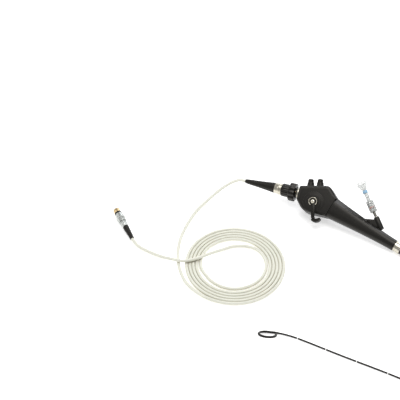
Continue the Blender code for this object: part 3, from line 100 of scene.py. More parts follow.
def facing(way):
    """The turn that points z along a way."""
    return way.to_track_quat("Z", "Y").to_matrix().to_4x4()


def frame_matrix(place, angle):
    """Axes whose z points at an angle in the handle's flat plane, with x towards the hub."""
    along = Vector((cos(angle), sin(angle), 0))
    aside = along_z(1)
    turn = Matrix((aside, along.cross(aside), along)).transposed()
    return Matrix.Translation(place) @ turn.to_4x4()


TABLE = TO_METRES @ Matrix.Translation(TABLE_PLACE)
HANDLE = TABLE @ Matrix.Translation(HUB_PLACE) @ HANDLE_TURN.to_matrix().to_4x4()
NOSE_LOCAL = frame_matrix(NOSE_CENTRE, NOSE_ANGLE)
PORT_LOCAL = frame_matrix(PORT_MOUTH, PORT_ANGLE)
NOSE = HANDLE @ NOSE_LOCAL
PORT = HANDLE @ PORT_LOCAL
GRIP = HANDLE @ frame_matrix(Vector((0, GRIP_Y, 0)), 0)
PLUG = TABLE @ Matrix.Translation(PLUG_TAIL) @ facing(PLUG_WAY)


def bend_matrix():
    heading = Vector((cos(BEND_HEADING), sin(BEND_HEADING), 0))
    left = Vector((-heading.y, heading.x, 0))
    inwards = left * cos(BEND_PLANE_TILT) + along_z(sin(BEND_PLANE_TILT))
    turn = Matrix((heading.cross(inwards), -inwards, heading)).transposed()
    return TABLE @ Matrix.Translation(BEND_START) @ turn.to_4x4()


BEND = bend_matrix()


def add_object(name, data):
    made = bpy.data.objects.new(name, data)
    bpy.context.collection.objects.link(made)
    return made


# Camera

EYE = Vector((710.4, -1195.1, 1417.2))
LOOK = Vector((-0.4437, 0.5499, -0.7076)).normalized()
camera = add_object("camera", bpy.data.cameras.new("camera"))
camera.data.sensor_fit = "HORIZONTAL"
camera.data.sensor_width = 36
camera.data.lens = 102.4
camera.data.clip_start = 0.05
camera.data.clip_end = 50
right = LOOK.cross(along_z(1)).normalized()
camera_turn = Matrix((right, right.cross(LOOK), -LOOK)).transposed()
camera.matrix_world = Matrix.Translation(TABLE @ EYE) @ camera_turn.to_4x4()
bpy.context.scene.camera = camera


# Materials

NOISE_LOW = 0.3
NOISE_HIGH = 0.7
GRAIN_STRENGTH = 0.5
# Where the painted shade in hollows is darkest and where it fades out, on the ambient occlusion
# scale
SHADE_RAMP_DARKEST = 0.15
SHADE_RAMP_ENDS = 0.72
# A Mix node has several sockets of one name, so its colours go by number
MIX_A = 6
MIX_B = 7
MIX_RESULT = 2


def set_inputs(shader, values):
    for socket, value in values.items():
        shader.inputs[socket.replace("_", " ")].default_value = value


def add_node(tree, kind, **values):
    made = tree.nodes.new("ShaderNode" + kind)
    set_inputs(made, values)
    return made


def wire(tree, from_node, output, to_node, name):
    tree.links.new(from_node.outputs[output], to_node.inputs[name])


def noise(tree, coordinates, scale, detail, stretch=(1, 1, 1)):
    mapping = add_node(tree, "Mapping", Scale=stretch)
    tree.links.new(coordinates, mapping.inputs["Vector"])
    made = add_node(tree, "TexNoise", Scale=scale, Detail=detail)
    wire(tree, mapping, "Vector", made, "Vector")
    return made


def ramp(tree, source, output, *stops):
    """A colour ramp with two stops, each a position and a colour."""
    made = add_node(tree, "ValToRGB")
    for element, (position, colour) in zip(made.color_ramp.elements, stops):
        element.position = position
        element.color = (*colour, 1)
    wire(tree, source, output, made, "Fac")
    return made


def paint_occlusion_shade(tree, colour, reach, deepest):
    """Paint shade into a colour where ambient occlusion is low: the hollows and gaps where little
    light comes.
    """
    occlusion_shade = add_node(tree, "AmbientOcclusion", Distance=reach * MM)
    occlusion_shade.samples = 8
    shade = ramp(tree, occlusion_shade, "AO", (SHADE_RAMP_DARKEST, deepest), (SHADE_RAMP_ENDS, (1, 1, 1)))
    both = add_node(tree, "Mix", Factor=1)
    both.data_type = "RGBA"
    both.blend_type = "MULTIPLY"
    wire(tree, colour, "Color", both, MIX_A)
    wire(tree, shade, "Color", both, MIX_B)
    return both.outputs[MIX_RESULT]


def surface(name, dark, light, rough, grain, depth, patch=40, stretch=(1, 1, 1), axes=None,
            occlusion_shade=None, **shader_values):
    """A finish with patchy colour, uneven gloss and a fine grain that the light catches.

    A stretch draws the grain out along the z of the axes given, or of the piece itself.
    A painted shade for hollows is given as how far it reaches out of them and the colour that it
    paints there.
    """
    made = bpy.data.materials.new(name)
    made.use_nodes = True
    tree = made.node_tree
    shader = tree.nodes["Principled BSDF"]
    coordinates = add_node(tree, "TexCoord").outputs["Object"]
    patches = noise(tree, coordinates, patch, 4)
    colour = ramp(tree, patches, "Fac", (NOISE_LOW, dark), (NOISE_HIGH, light))
    # Painted shade in the hollows, from ambient occlusion, when one is given
    shaded_colour = paint_occlusion_shade(tree, colour, *occlusion_shade) if occlusion_shade else colour.outputs["Color"]
    tree.links.new(shaded_colour, shader.inputs["Base Color"])
    if axes:
        straighten = add_node(
            tree, "Mapping", Rotation=axes.to_quaternion().inverted().to_euler(),
        )
        tree.links.new(coordinates, straighten.inputs["Vector"])
        coordinates = straighten.outputs["Vector"]
    fine = noise(tree, coordinates, grain, 3, stretch)
    gloss = add_node(
        tree, "MapRange", From_Min=NOISE_LOW, From_Max=NOISE_HIGH, To_Min=rough[0],
        To_Max=rough[1],
    )
    wire(tree, fine, "Fac", gloss, "Value")
    wire(tree, gloss, "Result", shader, "Roughness")
    bump = add_node(tree, "Bump", Strength=GRAIN_STRENGTH, Distance=depth * MM)
    wire(tree, fine, "Fac", bump, "Height")
    wire(tree, bump, "Normal", shader, "Normal")
    set_inputs(shader, shader_values)
    return made


def black(name, level, rough, grain, depth, sheen):
    """Near-black, a little warm, and duller at grazing angles than bare plastic."""
    dark = (level, level * 0.95, level * 0.8)
    light = tuple(value * 1.5 for value in dark)
    return surface(name, dark, light, rough, grain, depth, Specular_IOR_Level=sheen,
                   Specular_Tint=(1, 0.96, 0.9, 1))


def turned_metal(name, dark, light, rough, grain, depth, axes=None):
    """Metal with fine rings round the axis that it was turned on."""
    return surface(name, dark, light, rough, grain, depth, stretch=(0.4, 0.4, 9), axes=axes,
                   Metallic=1)


def silver(name, axes, gain=1):
    dark = tuple(value * gain for value in (0.55, 0.52, 0.44))
    light = tuple(value * gain for value in (0.68, 0.645, 0.55))
    return turned_metal(name, dark, light, (0.12, 0.26), 900, 0.006, axes)


def steel(name, axes=None):
    return turned_metal(name, (0.5, 0.51, 0.5), (0.62, 0.62, 0.61), (0.26, 0.42), 1100,
                        0.008, axes)


SHELL = black("shell_plastic", 0.0055, (0.29, 0.4), 2600, 0.03, 0.38)
RUBBER = black("black_rubber", 0.0055, (0.38, 0.5), 1900, 0.04, 0.32)
KNOB = black("black_knob", 0.004, (0.2, 0.32), 3000, 0.015, 0.38)
COVER = black("bending_rubber", 0.006, (0.38, 0.5), 2800, 0.012, 0.26)
SILVER_NOSE = silver("turned_silver_nose", NOSE)
SILVER_GRIP = silver("turned_silver_grip", GRIP)
SILVER_HUB = silver("turned_silver_hub", HANDLE, 1.4)
STEEL = steel("brushed_steel")
STEEL_PORT = turned_metal("threaded_steel", (0.26, 0.25, 0.23), (0.38, 0.37, 0.34),
                          (0.16, 0.28), 1100, 0.008, PORT)
STEEL_SCREW = steel("brushed_steel_screw", HANDLE)
PLUG_METAL = turned_metal("plug_nickel", (0.5, 0.52, 0.5), (0.6, 0.61, 0.59), (0.26, 0.4),
                          900, 0.01, PLUG)
GOLD = surface("gold_contact", (0.62, 0.46, 0.24), (0.74, 0.57, 0.33), (0.24, 0.38), 1400, 0.006,
               Metallic=1)
CLEAR = surface("clear_plastic", (0.78, 0.79, 0.78), (0.88, 0.89, 0.88), (0.06, 0.16), 500, 0.02,
                IOR=1.54, Transmission_Weight=0.84)
BLUE = surface("seal_blue", (0.28, 0.5, 0.7), (0.36, 0.58, 0.78), (0.34, 0.46), 1500, 0.01)
RED = surface("seal_red", (0.9, 0.16, 0.03), (0.96, 0.21, 0.05), (0.34, 0.44), 1500, 0.01)
# The jacket's colour has painted shade in the gaps between the coil's turns and where the cord
# meets the floor
IVORY = surface("ivory_jacket", (0.8, 0.8, 0.695), (0.84, 0.84, 0.745), (0.34, 0.46), 1600,
                0.012, patch=22, occlusion_shade=(5, (0.6, 0.56, 0.46)))
TUBE = black("tube_polymer", 0.009, (0.36, 0.48), 2400, 0.008, 0.26)
MARK = surface("depth_mark", (0.8, 0.8, 0.78), (0.88, 0.88, 0.86), (0.4, 0.5), 2400, 0.006)
BOARD = surface("board_green", (0.01, 0.075, 0.035), (0.018, 0.11, 0.05), (0.3, 0.5), 700,
                0.02, patch=260)
GLASS = surface("lens_glass", (0.02, 0.03, 0.07), (0.05, 0.07, 0.14), (0.02, 0.05), 900, 0.0005,
                Coat_Weight=1, Coat_Roughness=0.02)
INSULATOR = surface("contact_insulator", (0.022, 0.021, 0.02), (0.034, 0.033, 0.031),
                    (0.4, 0.52), 2200, 0.01)


# Modelling helpers

SHARP_DEGREES = 38
COINCIDENT = 1e-4
NEARLY_STRAIGHT = radians(86)
WELD = 0.0005
LEVEL = 0.01


def new_piece(name, bm, axes, look, slot, nodes=(), body="handle", sharp=SHARP_DEGREES):
    """A piece from a mesh in the axes given; its points are kept in the frame's metres."""
    mesh = bpy.data.meshes.new(name)
    bmesh.ops.transform(bm, matrix=axes, verts=bm.verts)
    bmesh.ops.recalc_face_normals(bm, faces=bm.faces)
    bm.to_mesh(mesh)
    bm.free()
    mesh.shade_smooth()
    mesh.set_sharp_from_angle(angle=radians(sharp))
    mesh.materials.append(look)
    obj = add_object(name, mesh)
    if body:
        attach(obj, body)
    if nodes:
        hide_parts(*nodes)
    return obj


def corner_ways(outline, index):
    """A corner, and the ways from it to the corners before and after."""
    corner, before, after = (
        Vector(outline[place % len(outline)][:2]) for place in (index, index - 1, index + 1)
    )
    return corner, before - corner, after - corner


def softened(outline, fillet, closed, steps=3):
    """Round each corner of an outline with a small curve."""
    made = []
    for index in range(len(outline)):
        corner, before, after = corner_ways(outline, index)
        at_end = not closed and index in (0, len(outline) - 1)
        if (at_end or min(before.length, after.length) < COINCIDENT
                or before.angle(after) / 2 > NEARLY_STRAIGHT):
            made.append(tuple(corner))
            continue
        half = before.angle(after) / 2
        reach = min(fillet / tan(half), before.length * 0.45, after.length * 0.45)
        first = corner + before.normalized() * reach
        last = corner + after.normalized() * reach
        for step in range(steps + 1):
            t = step / steps
            made.append(tuple(
                first * (1 - t) ** 2 + corner * (2 * t * (1 - t)) + last * t ** 2
            ))
    return made


def flow(points, steps=8):
    """A smooth curve through the given points."""
    spots = [Vector(point) for point in points]
    ends = [spots[0] * 2 - spots[1], *spots, spots[-1] * 2 - spots[-2]]
    made = []
    for before, start, end, after in zip(ends, ends[1:], ends[2:], ends[3:]):
        for step in range(steps):
            t = step / steps
            made.append(0.5 * (
                2 * start + (end - before) * t
                + (2 * before - 5 * start + 4 * end - after) * t ** 2
                + (3 * start - before - 3 * end + after) * t ** 3
            ))
    made.append(spots[-1])
    return made


def lathe_mesh(profile, segments=72, fillet=0.15):
    closed = profile[0][0] != 0
    outline = softened(profile, fillet, closed) if fillet else profile
    bm = bmesh.new()
    points = [bm.verts.new((radius, 0, height)) for radius, height in outline]
    edges = [bm.edges.new(pair) for pair in zip(points, points[1:])]
    if closed:
        edges.append(bm.edges.new((points[-1], points[0])))
    bmesh.ops.spin(
        bm, geom=points + edges, cent=(0, 0, 0), axis=(0, 0, 1),
        angle=2 * pi, steps=segments, use_duplicate=False,
    )
    bmesh.ops.remove_doubles(bm, verts=bm.verts, dist=WELD)
    return bm


def lathe(name, profile, axes, look, slot, nodes=(), segments=72, fillet=0.15, **more):
    mesh = lathe_mesh(profile, segments, fillet)
    return new_piece(name, mesh, axes, look, slot, nodes, **more)


def lathe_skin(node, profile, axes, look, slot, **more):
    """A turned piece in the place of one node."""
    return lathe(f"{node}_skin", profile, axes, look, slot, (node,), **more)


def rod(radius, top, foot, segments):
    """A plain cylinder, to cut with."""
    return lathe_mesh([(0, top), (radius, top), (radius, foot), (0, foot)], segments, 0)


def circle(radius, count, height=0):
    turns = [2 * pi * index / count for index in range(count)]
    return [Vector((radius * cos(turn), radius * sin(turn), height)) for turn in turns]


def loft_mesh(loops, closed_tube=False):
    bm = bmesh.new()
    rings = [[bm.verts.new(point) for point in loop] for loop in loops]
    pairs = list(zip(rings, rings[1:]))
    if closed_tube:
        pairs.append((rings[-1], rings[0]))
    for low, high in pairs:
        count = len(low)
        for index in range(count):
            following = (index + 1) % count
            bm.faces.new((low[index], low[following], high[following], high[index]))
    if not closed_tube:
        bm.faces.new(list(reversed(rings[0])))
        bm.faces.new(rings[-1])
    return bm


def round_edges(bm, edges, offset, segments):
    """Bevel in metres, as the tool's own tolerances tell on the result."""
    placed(bm, TO_METRES)
    bmesh.ops.bevel(
        bm, geom=edges, offset=offset * MM, offset_type="OFFSET", segments=segments,
        profile=0.5, affect="EDGES", clamp_overlap=True,
    )
    placed(bm, TO_METRES.inverted())


def prism_mesh(outline, bottom, top, rim=0, segments=3):
    bm = bmesh.new()
    face = bm.faces.new([bm.verts.new((x, y, bottom)) for x, y in outline])
    grown = bmesh.ops.extrude_face_region(bm, geom=[face])
    lifted = [item for item in grown["geom"] if isinstance(item, bmesh.types.BMVert)]
    bmesh.ops.translate(bm, verts=lifted, vec=(0, 0, top - bottom))
    if rim:
        rims = [
            edge for edge in bm.edges
            if abs(edge.verts[0].co.z - edge.verts[1].co.z) < LEVEL
        ]
        round_edges(bm, rims, rim, segments)
    return bm


def join_meshes(*parts):
    """Put several bmeshes into one, where one piece is made of joined solids."""
    whole = bmesh.new()
    for part in parts:
        scratch = bpy.data.meshes.new("scratch")
        bmesh.ops.recalc_face_normals(part, faces=part.faces)
        part.to_mesh(scratch)
        part.free()
        whole.from_mesh(scratch)
        bpy.data.meshes.remove(scratch)
    return whole


def placed(bm, matrix):
    bmesh.ops.transform(bm, matrix=matrix, verts=bm.verts)
    return bm


def cut(obj, axes, *tools):
    """Cut meshes, given in the piece's own axes, out of it, and keep the result."""
    for tool in tools:
        mesh = bpy.data.meshes.new("cutter")
        placed(tool, axes)
        bmesh.ops.recalc_face_normals(tool, faces=tool.faces)
        tool.to_mesh(mesh)
        tool.free()
        cutter = add_object("cutter", mesh)
        change = obj.modifiers.new("cut", "BOOLEAN")
        change.operation = "DIFFERENCE"
        change.solver = "EXACT"
        change.object = cutter
        bpy.context.view_layer.update()
        result = bpy.data.meshes.new_from_object(
            obj.evaluated_get(bpy.context.evaluated_depsgraph_get())
        )
        obj.modifiers.clear()
        old = obj.data
        obj.data = result
        bpy.data.meshes.remove(old)
        bpy.data.objects.remove(cutter, do_unlink=True)
        bpy.data.meshes.remove(mesh)
    obj.data.shade_smooth()
    obj.data.set_sharp_from_angle(angle=radians(SHARP_DEGREES))


def rounded_outline(corners, steps=8):
    """An outline with true arcs; each corner is given as x, y and the arc's radius."""
    outline = []
    for index, (x, y, fillet) in enumerate(corners):
        if fillet <= 0:
            outline.append((x, y))
            continue
        corner, before, after = corner_ways(corners, index)
        half = before.angle(after) / 2
        reach = fillet / tan(half)
        middle = (before.normalized() + after.normalized()).normalized()
        centre = corner + middle * (fillet / sin(half))
        first = corner + before.normalized() * reach - centre
        last = corner + after.normalized() * reach - centre
        start = atan2(first.y, first.x)
        sweep = atan2(first.x * last.y - first.y * last.x, first.dot(last))
        for step in range(steps + 1):
            turn = start + sweep * step / steps
            outline.append((centre.x + fillet * cos(turn), centre.y + fillet * sin(turn)))
    return outline


def inset_corners(corners, distance):
    area = sum(
        a[0] * b[1] - b[0] * a[1] for a, b in zip(corners, corners[1:] + corners[:1])
    )
    side = 1 if area > 0 else -1
    moved = []
    for index, (x, y, fillet) in enumerate(corners):
        _, before, after = corner_ways(corners, index)
        along_in, along_out = -before.normalized(), after.normalized()
        inward_in = Vector((-along_in.y, along_in.x)) * side
        inward_out = Vector((-along_out.y, along_out.x)) * side
        step = (inward_in + inward_out) * (distance / (1 + inward_in.dot(inward_out)))
        turn = along_in.x * along_out.y - along_in.y * along_out.x
        if fillet > 0:
            fillet = max(fillet - distance, 0.5) if turn * side > 0 else fillet + distance
        moved.append((x + step.x, y + step.y, fillet))
    return moved


# Cords

CABLE_R = 2.75
TUBE_R = 1.4
SEAT = 6
LEAVING = 3
CABLE_Z = 2.8
TUBE_Z = 1.5
ROUTE_STEP = 3
# Places on the table; those without a height lie flat on it
HANDLE_LEAD = (
    (-143, -26.5, 19.6), (-150.2, -35.6, 17.6), (-154.8, -46.6, 15.2), (-158.6, -58.8, 12.4),
    (-162.4, -74.2, 8), (-164.6, -92.8, 4.3), (-164.8, -112, 3), (-163, -129),
    (-158.8, -147), (-152.6, -167), (-145.6, -185), (-136, -203), (-124.7, -218.9),
    (-113.4, -231.6), (-104, -240.6), (-94.6, -247.7), (-84.6, -253.9),
)
PLUG_LEAD = (
    (-191, -246.3, 2.9), (-178, -246.6), (-163, -244.9), (-148, -242.2, 3.2),
    (-136, -240, 4.6), (-125, -237.8, 7.2), (-114, -234.8, 9), (-104, -228.6, 9),
    (-95, -218, 9), (-87.4, -204, 8.9), (-80.6, -188, 8.2), (-76, -174, 5.4),
    (-71.4, -161, 3), (-64.6, -148.6), (-55, -138.8), (-43, -131.2), (-29, -127.6),
    (-14.6, -130.6), (-2, -138.4), (8.2, -150.4), (14.6, -166), (15.6, -183),
    (11.2, -199.6), (1.6, -214.4), (-12, -225), (-27.6, -230.1), (-44.4, -230.3),
)
TUBE_ROUTE = (
    (232, 21.8, 2.2), (258, 21.6), (284, 18.6), (309, 11.6), (333, -1),
    (355, -20), (373, -45), (386, -75), (390.5, -106), (385.5, -135),
    (372.5, -160.5), (354, -180), (331, -193.5), (306, -200.8), (280.2, -206.1),
    (255, -211.6), (231, -217), (206, -222.5), (181.9, -227.5), (157, -232.5),
    (134, -237.6), (120, -241.8, 1.6), (106, -247.6, 1.8),
)
COIL_CENTRE = Vector((-36.7, -178.4, CABLE_Z))
COIL_START = 245
COIL_SWEEP = 1800
COIL_STEP = 12
COIL_JOIN = 60
COIL_LAST = COIL_SWEEP - COIL_JOIN
COIL_OUTER = 83.8
COIL_INNER = 57.4
COIL_ENTRY = 88.9
COIL_EXIT = 52.5
BEND_BASE = 6.3


def on_table(points, height):
    return [TABLE @ Vector((*point, height)[:3]) for point in points]


def coil_points():
    """The flat spiral, wound inwards, with an easy turn in and out of it."""
    made = []
    for degrees in range(0, COIL_SWEEP + 1, COIL_STEP):
        if degrees < COIL_JOIN:
            share = degrees / COIL_JOIN
            radius = COIL_ENTRY + (COIL_OUTER - COIL_ENTRY) * share * (2 - share)
        elif degrees > COIL_LAST:
            share = (degrees - COIL_LAST) / COIL_JOIN
            radius = COIL_INNER + (COIL_EXIT - COIL_INNER) * share * share
        else:
            share = (degrees - COIL_JOIN) / (COIL_LAST - COIL_JOIN)
            radius = COIL_OUTER + (COIL_INNER - COIL_OUTER) * share
        turn = radians(COIL_START + degrees)
        made.append(COIL_CENTRE + Vector((cos(turn), sin(turn), 0)) * radius)
    return made


def even_route(points):
    """Even steps along a smooth curve through the points."""
    fine = flow(points, 10)
    lengths = [(b - a).length for a, b in zip(fine, fine[1:])]
    count = max(2, round(sum(lengths) / (ROUTE_STEP * MM)))
    even = sum(lengths) / count
    route, gone, wanted = [fine[0]], 0, even
    for (a, b), length in zip(zip(fine, fine[1:]), lengths):
        while gone + length >= wanted and len(route) < count:
            route.append(a.lerp(b, (wanted - gone) / length))
            wanted += even
        gone += length
    return [*route, fine[-1]], sum(lengths)


def tube_curve(name, route, radius, look, nodes):
    curve = bpy.data.curves.new(name, "CURVE")
    curve.dimensions = "3D"
    curve.bevel_depth = radius * MM
    curve.bevel_resolution = 6
    curve.use_fill_caps = True
    curve.materials.append(look)
    spline = curve.splines.new("POLY")
    spline.points.add(len(route) - 1)
    for spot, place in zip(spline.points, route):
        spot.co = (*place, 1)
    spline.use_smooth = True
    obj = add_object(name, curve)
    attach(obj, "handle")
    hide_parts(*nodes)
    return obj


camera_route, camera_length = even_route([
    NOSE @ along_z(BOOT_TIP - SEAT),
    NOSE @ along_z(BOOT_TIP + LEAVING),
    *on_table(HANDLE_LEAD, CABLE_Z),
    *on_table(coil_points(), CABLE_Z),
    *reversed(on_table(PLUG_LEAD, CABLE_Z)),
    PLUG @ along_z(-LEAVING),
    PLUG @ along_z(SEAT),
])
camera_cable = tube_curve(
    "camera_cable", camera_route, CABLE_R, IVORY,
    ("cable_lead_handle", "cable_coil", "cable_lead_plug"),
)
tube_route, tube_length = even_route([
    GRIP @ along_z(PROTECTOR_TIP - SEAT),
    GRIP @ along_z(PROTECTOR_TIP + LEAVING),
    *on_table(TUBE_ROUTE, TUBE_Z),
    BEND @ along_z(-BEND_BASE),
])
tube = tube_curve(
    "insertion_tube_skin", tube_route, TUBE_R, TUBE, ("insertion_tube",),
)


# White depth marks, every 50 mm along the tube

MARK_PLACES = ((280.2, -205.6), (231, -217.7), (181.9, -226.4), (134, -237.6))
MARK_HALF = 0.7
MARK_R = TUBE_R + 0.05
MARK_IN = TUBE_R - 0.2
for number, spot in enumerate(on_table(MARK_PLACES, TUBE_Z), 1):
    nearest = min(
        range(1, len(tube_route) - 1), key=lambda index: (tube_route[index] - spot).length,
    )
    along = tube_route[nearest + 1] - tube_route[nearest - 1]
    lathe(
        f"depth_mark_{number}",
        [(MARK_IN, MARK_HALF), (MARK_R, MARK_HALF), (MARK_R, -MARK_HALF), (MARK_IN, -MARK_HALF)],
        Matrix.Translation(tube_route[nearest]) @ facing(along) @ TO_METRES, MARK, "tube_grey",
        segments=32, fillet=0.03,
    )


# Bending section: one soft sleeve over each hinge

COVER_R = 1.9
COVER_WALL = 0.2
COVER_ROOT = 16
COVER_ROOT_R = TUBE_R + 0.05
COVER_LIFT = 0.03
SLEEVE_SIDES = 28
ARC_RINGS = 10
PLAIN_RINGS = 3
TIP_LENGTH = 10
TIP_SHOULDER = 4
TIP_R = 1.9
TIP_NECK_R = 1.5
TIP_GROOVE_R = TIP_R - 0.06
CHANNEL_Y = -0.5
LENS_Y = 0.65
IN_METRES = Matrix.Identity(4)


def sleeve_stations(before, after, start, end):
    """Axes of the sleeve's rings, on an arc from one link into the next."""
    half = LINK_PITCH / 2
    radius = half / tan(LINK_TURN / 2)
    stations = []
    if start > half:
        for step in range(PLAIN_RINGS):
            stations.append(before @ shift(0, 0, -start + (start - half) * step / PLAIN_RINGS))
    for step in range(ARC_RINGS + 1):
        angle = LINK_TURN * step / ARC_RINGS
        centre = shift(0, -radius * (1 - cos(angle)), -half + radius * sin(angle))
        stations.append(before @ centre @ Matrix.Rotation(angle, 4, "X"))
    if end > half:
        for step in range(1, PLAIN_RINGS + 1):
            stations.append(after @ shift(0, 0, half + (end - half) * step / PLAIN_RINGS))
    return stations


def sleeve_mesh(stations, outer, inner):
    """A hose through the stations, with an outer radius at each and one inner radius."""
    walls = [*zip(stations, outer), *((station, inner) for station in reversed(stations))]
    return loft_mesh([
        [station @ spot for spot in circle(radius, SLEEVE_SIDES)] for station, radius in walls
    ], closed_tube=True)


# The axes after each hinge, at rest
hinge_turn = Matrix.Rotation(LINK_TURN, 4, "X")
hinges = [BEND @ hinge_turn]
for _ in range(LINKS):
    hinges.append(hinges[-1] @ shift(0, 0, LINK_PITCH) @ hinge_turn)
for number in range(LINKS + 1):
    before = hinges[number - 1] @ shift(0, 0, LINK_PITCH) if number else BEND
    after = hinges[number]
    start = LINK_PITCH / 2 if number else BEND_BASE - GAP
    end = LINK_PITCH / 2 if number < LINKS else TIP_SHOULDER - GAP
    stations = sleeve_stations(before, after, start, end)
    sleeve = new_piece(
        f"bend_sleeve_{number + 1:02d}",
        sleeve_mesh(stations, [COVER_R] * len(stations), COVER_R - COVER_WALL),
        IN_METRES, COVER, "black_rubber", ("bending_cover",), body=None,
    )
    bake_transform(sleeve)

# The cover's end on the tube: it thickens as the tube leaves the table
seat = BEND @ along_z(-BEND_BASE + GAP)
spots = [spot for spot in tube_route if (spot - seat).length < COVER_ROOT * MM]
spots[-1] = seat
stations = [
    Matrix.Translation(spot) @ facing(after - before) @ TO_METRES
    for before, spot, after in zip(spots[:1] + spots, spots, spots[1:] + spots[-1:])
]
outer = [COVER_ROOT_R, *(min(COVER_R, spot.z / MM - COVER_LIFT) for spot in spots[1:])]
new_piece(
    "bend_sleeve_root", sleeve_mesh(stations, outer, TUBE_R - 0.1), IN_METRES, COVER,
    "black_rubber",
)

TIP_FACE = hinges[-1] @ shift(0, 0, TIP_LENGTH)
TIP_STEP = TIP_SHOULDER - TIP_LENGTH
tip_body = lathe(
    "distal_tip_body",
    [(0, 0), (TIP_R, 0), (TIP_R, -2.4), (TIP_GROOVE_R, -2.45), (TIP_GROOVE_R, -2.6),
     (TIP_R, -2.65), (TIP_R, TIP_STEP), (TIP_NECK_R, TIP_STEP), (TIP_NECK_R, TIP_STEP - 1),
     (0, TIP_STEP - 1)],
    TIP_FACE, COVER, "steel", ("distal_tip",), segments=48, fillet=0.2, body="tip",
)
cut(
    tip_body, TIP_FACE,
    placed(rod(0.6, 1, -3, 32), shift(0, CHANNEL_Y)),
    placed(rod(0.48, 1, -0.9, 32), shift(0, LENS_Y)),
)
lens = lathe(
    "tip_lens_glass", [(0, 0), (0.2, -0.02), (0.42, -0.12), (0.42, -0.8), (0, -0.8)],
    TIP_FACE @ shift(0, LENS_Y), GLASS, "lens_glass", ("tip_lens",), segments=32, fillet=0.03,
    body="tip",
)


# Control body

NEAR_DEPTH = 18
FAR_DEPTH = 17
BODY_WALL = 2.2
FACE_WALL = 2.4
BODY_EDGE = 6
INNER_CHAMFER = 1.8
LIP = 0.25
NOSE_WIDTH = 25
BUSH_R = 6
NECK_BORE_R = 5
GRIP_START_HALF_Y = 18.7
GRIP_START_HALF_Z = 16.6
GRIP_END_R = 9.6
GRIP_TAPER = 1.45
GRIP_SQUARENESS = 3.2
GRIP_FACET_ANGLE = radians(52)
GRIP_FACET_SHARE = 0.88
BUTTON_PLACE = 24.6
BUTTON_SPACING = 16.5
BUTTON_STEM_R = 2.2
SCREW_PLACES = ((-22.6, 2), (14, 27), (22, -3))


def grip_half_sizes(share):
    left = (1 - share) ** GRIP_TAPER
    half_y = GRIP_END_R + (GRIP_START_HALF_Y - GRIP_END_R) * left
    half_z = GRIP_END_R + (GRIP_START_HALF_Z - GRIP_END_R) * left
    return half_y, half_z


def body_corners():
    towards = Vector((cos(NOSE_ANGLE), sin(NOSE_ANGLE)))
    across = Vector((-towards.y, towards.x))
    nose_low = NOSE_CENTRE.xy + across * NOSE_WIDTH * 0.5
    nose_high = NOSE_CENTRE.xy - across * NOSE_WIDTH * 0.47
    half_y = grip_half_sizes(0)[0]
    return [
        (nose_low.x, nose_low.y, 5),
        (-9.3, -22.7, 24),
        (SEAM_X, GRIP_Y - half_y, 0),
        (SEAM_X, GRIP_Y + half_y, 0),
        (24, GRIP_Y + half_y + 3.4, 9),
        (8, 38.6, 11),
        (nose_high.x, nose_high.y, 4),
    ]


CORNERS = body_corners()


def button_matrices():
    low, high = Vector(CORNERS[6][:2]), Vector(CORNERS[5][:2])
    along = (high - low).normalized()
    place = low + along * BUTTON_PLACE
    slope = Vector((along.x, along.y, 0))
    out = Vector((-along.y, along.x, 0))
    turn = Matrix((slope, out.cross(slope), out)).transposed().to_4x4()
    half = BUTTON_SPACING / 2
    return [shift(place.x, place.y) @ turn @ shift(aside, 0) for aside in (-half, half)]


BUTTONS = button_matrices()


def stacked_outlines(levels, steps, seam):
    loops = []
    for inset, height in levels:
        drawn_in = [
            (seam if corner[0] == SEAM_X else x, y, fillet)
            for corner, (x, y, fillet) in zip(CORNERS, inset_corners(CORNERS, inset))
        ]
        loops.append([Vector((x, y, height)) for x, y in rounded_outline(drawn_in, steps)])
    return loft_mesh(loops)


def quarter(steps):
    return [radians(90 * step / steps) for step in range(steps + 1)]


def control_shell(which, side, depth):
    rim = [
        (BODY_EDGE * (1 - cos(angle)), depth - BODY_EDGE * (1 - sin(angle)))
        for angle in quarter(12)
    ]
    levels = [(LIP, GAP / 2), (0, GAP / 2 + LIP), *rim]
    mirror = Matrix.Diagonal((1, 1, side, 1))
    shell = new_piece(
        f"{which}_shell_skin", placed(stacked_outlines(levels, 14, SEAM_X), mirror),
        HANDLE, SHELL, "black_shell", (f"control_shell_{which}",),
    )
    hollow = [
        (BODY_WALL, -1), (BODY_WALL, depth - BODY_EDGE),
        (BODY_WALL + INNER_CHAMFER, depth - FACE_WALL),
    ]
    cutters = [
        placed(stacked_outlines(hollow, 8, SEAM_X + BODY_WALL), mirror),
        placed(rod(NECK_BORE_R + 1.3, 2, -4, 64), NOSE_LOCAL),
        *(placed(rod(BUTTON_STEM_R + RUNNING_GAP, 2, -BODY_WALL - 3, 48), button)
          for button in BUTTONS),
    ]
    if side > 0:
        cutters.append(rod(BUSH_R + GAP, depth + 4, 5, 72))
    else:
        for x, y in SCREW_PLACES:
            cutters.append(placed(rod(2.4, -depth - 1, -depth + 1.6, 40), shift(x, y)))
    cut(shell, HANDLE, *cutters)


control_shell("near", 1, NEAR_DEPTH)
control_shell("far", -1, FAR_DEPTH)
lathe(
    "face_steps",
    [(BUSH_R + GAP, 1.6), (13, 1.6), (13.4, 0.7), (18, 0.7), (18.3, -0.4),
     (BUSH_R + GAP, -0.4)],
    HANDLE @ shift(0, 0, NEAR_DEPTH), SHELL, "black_shell", ("control_shell_near",),
    segments=120, fillet=0.5,
)


# Shaft end, lever, hub and thumb pad

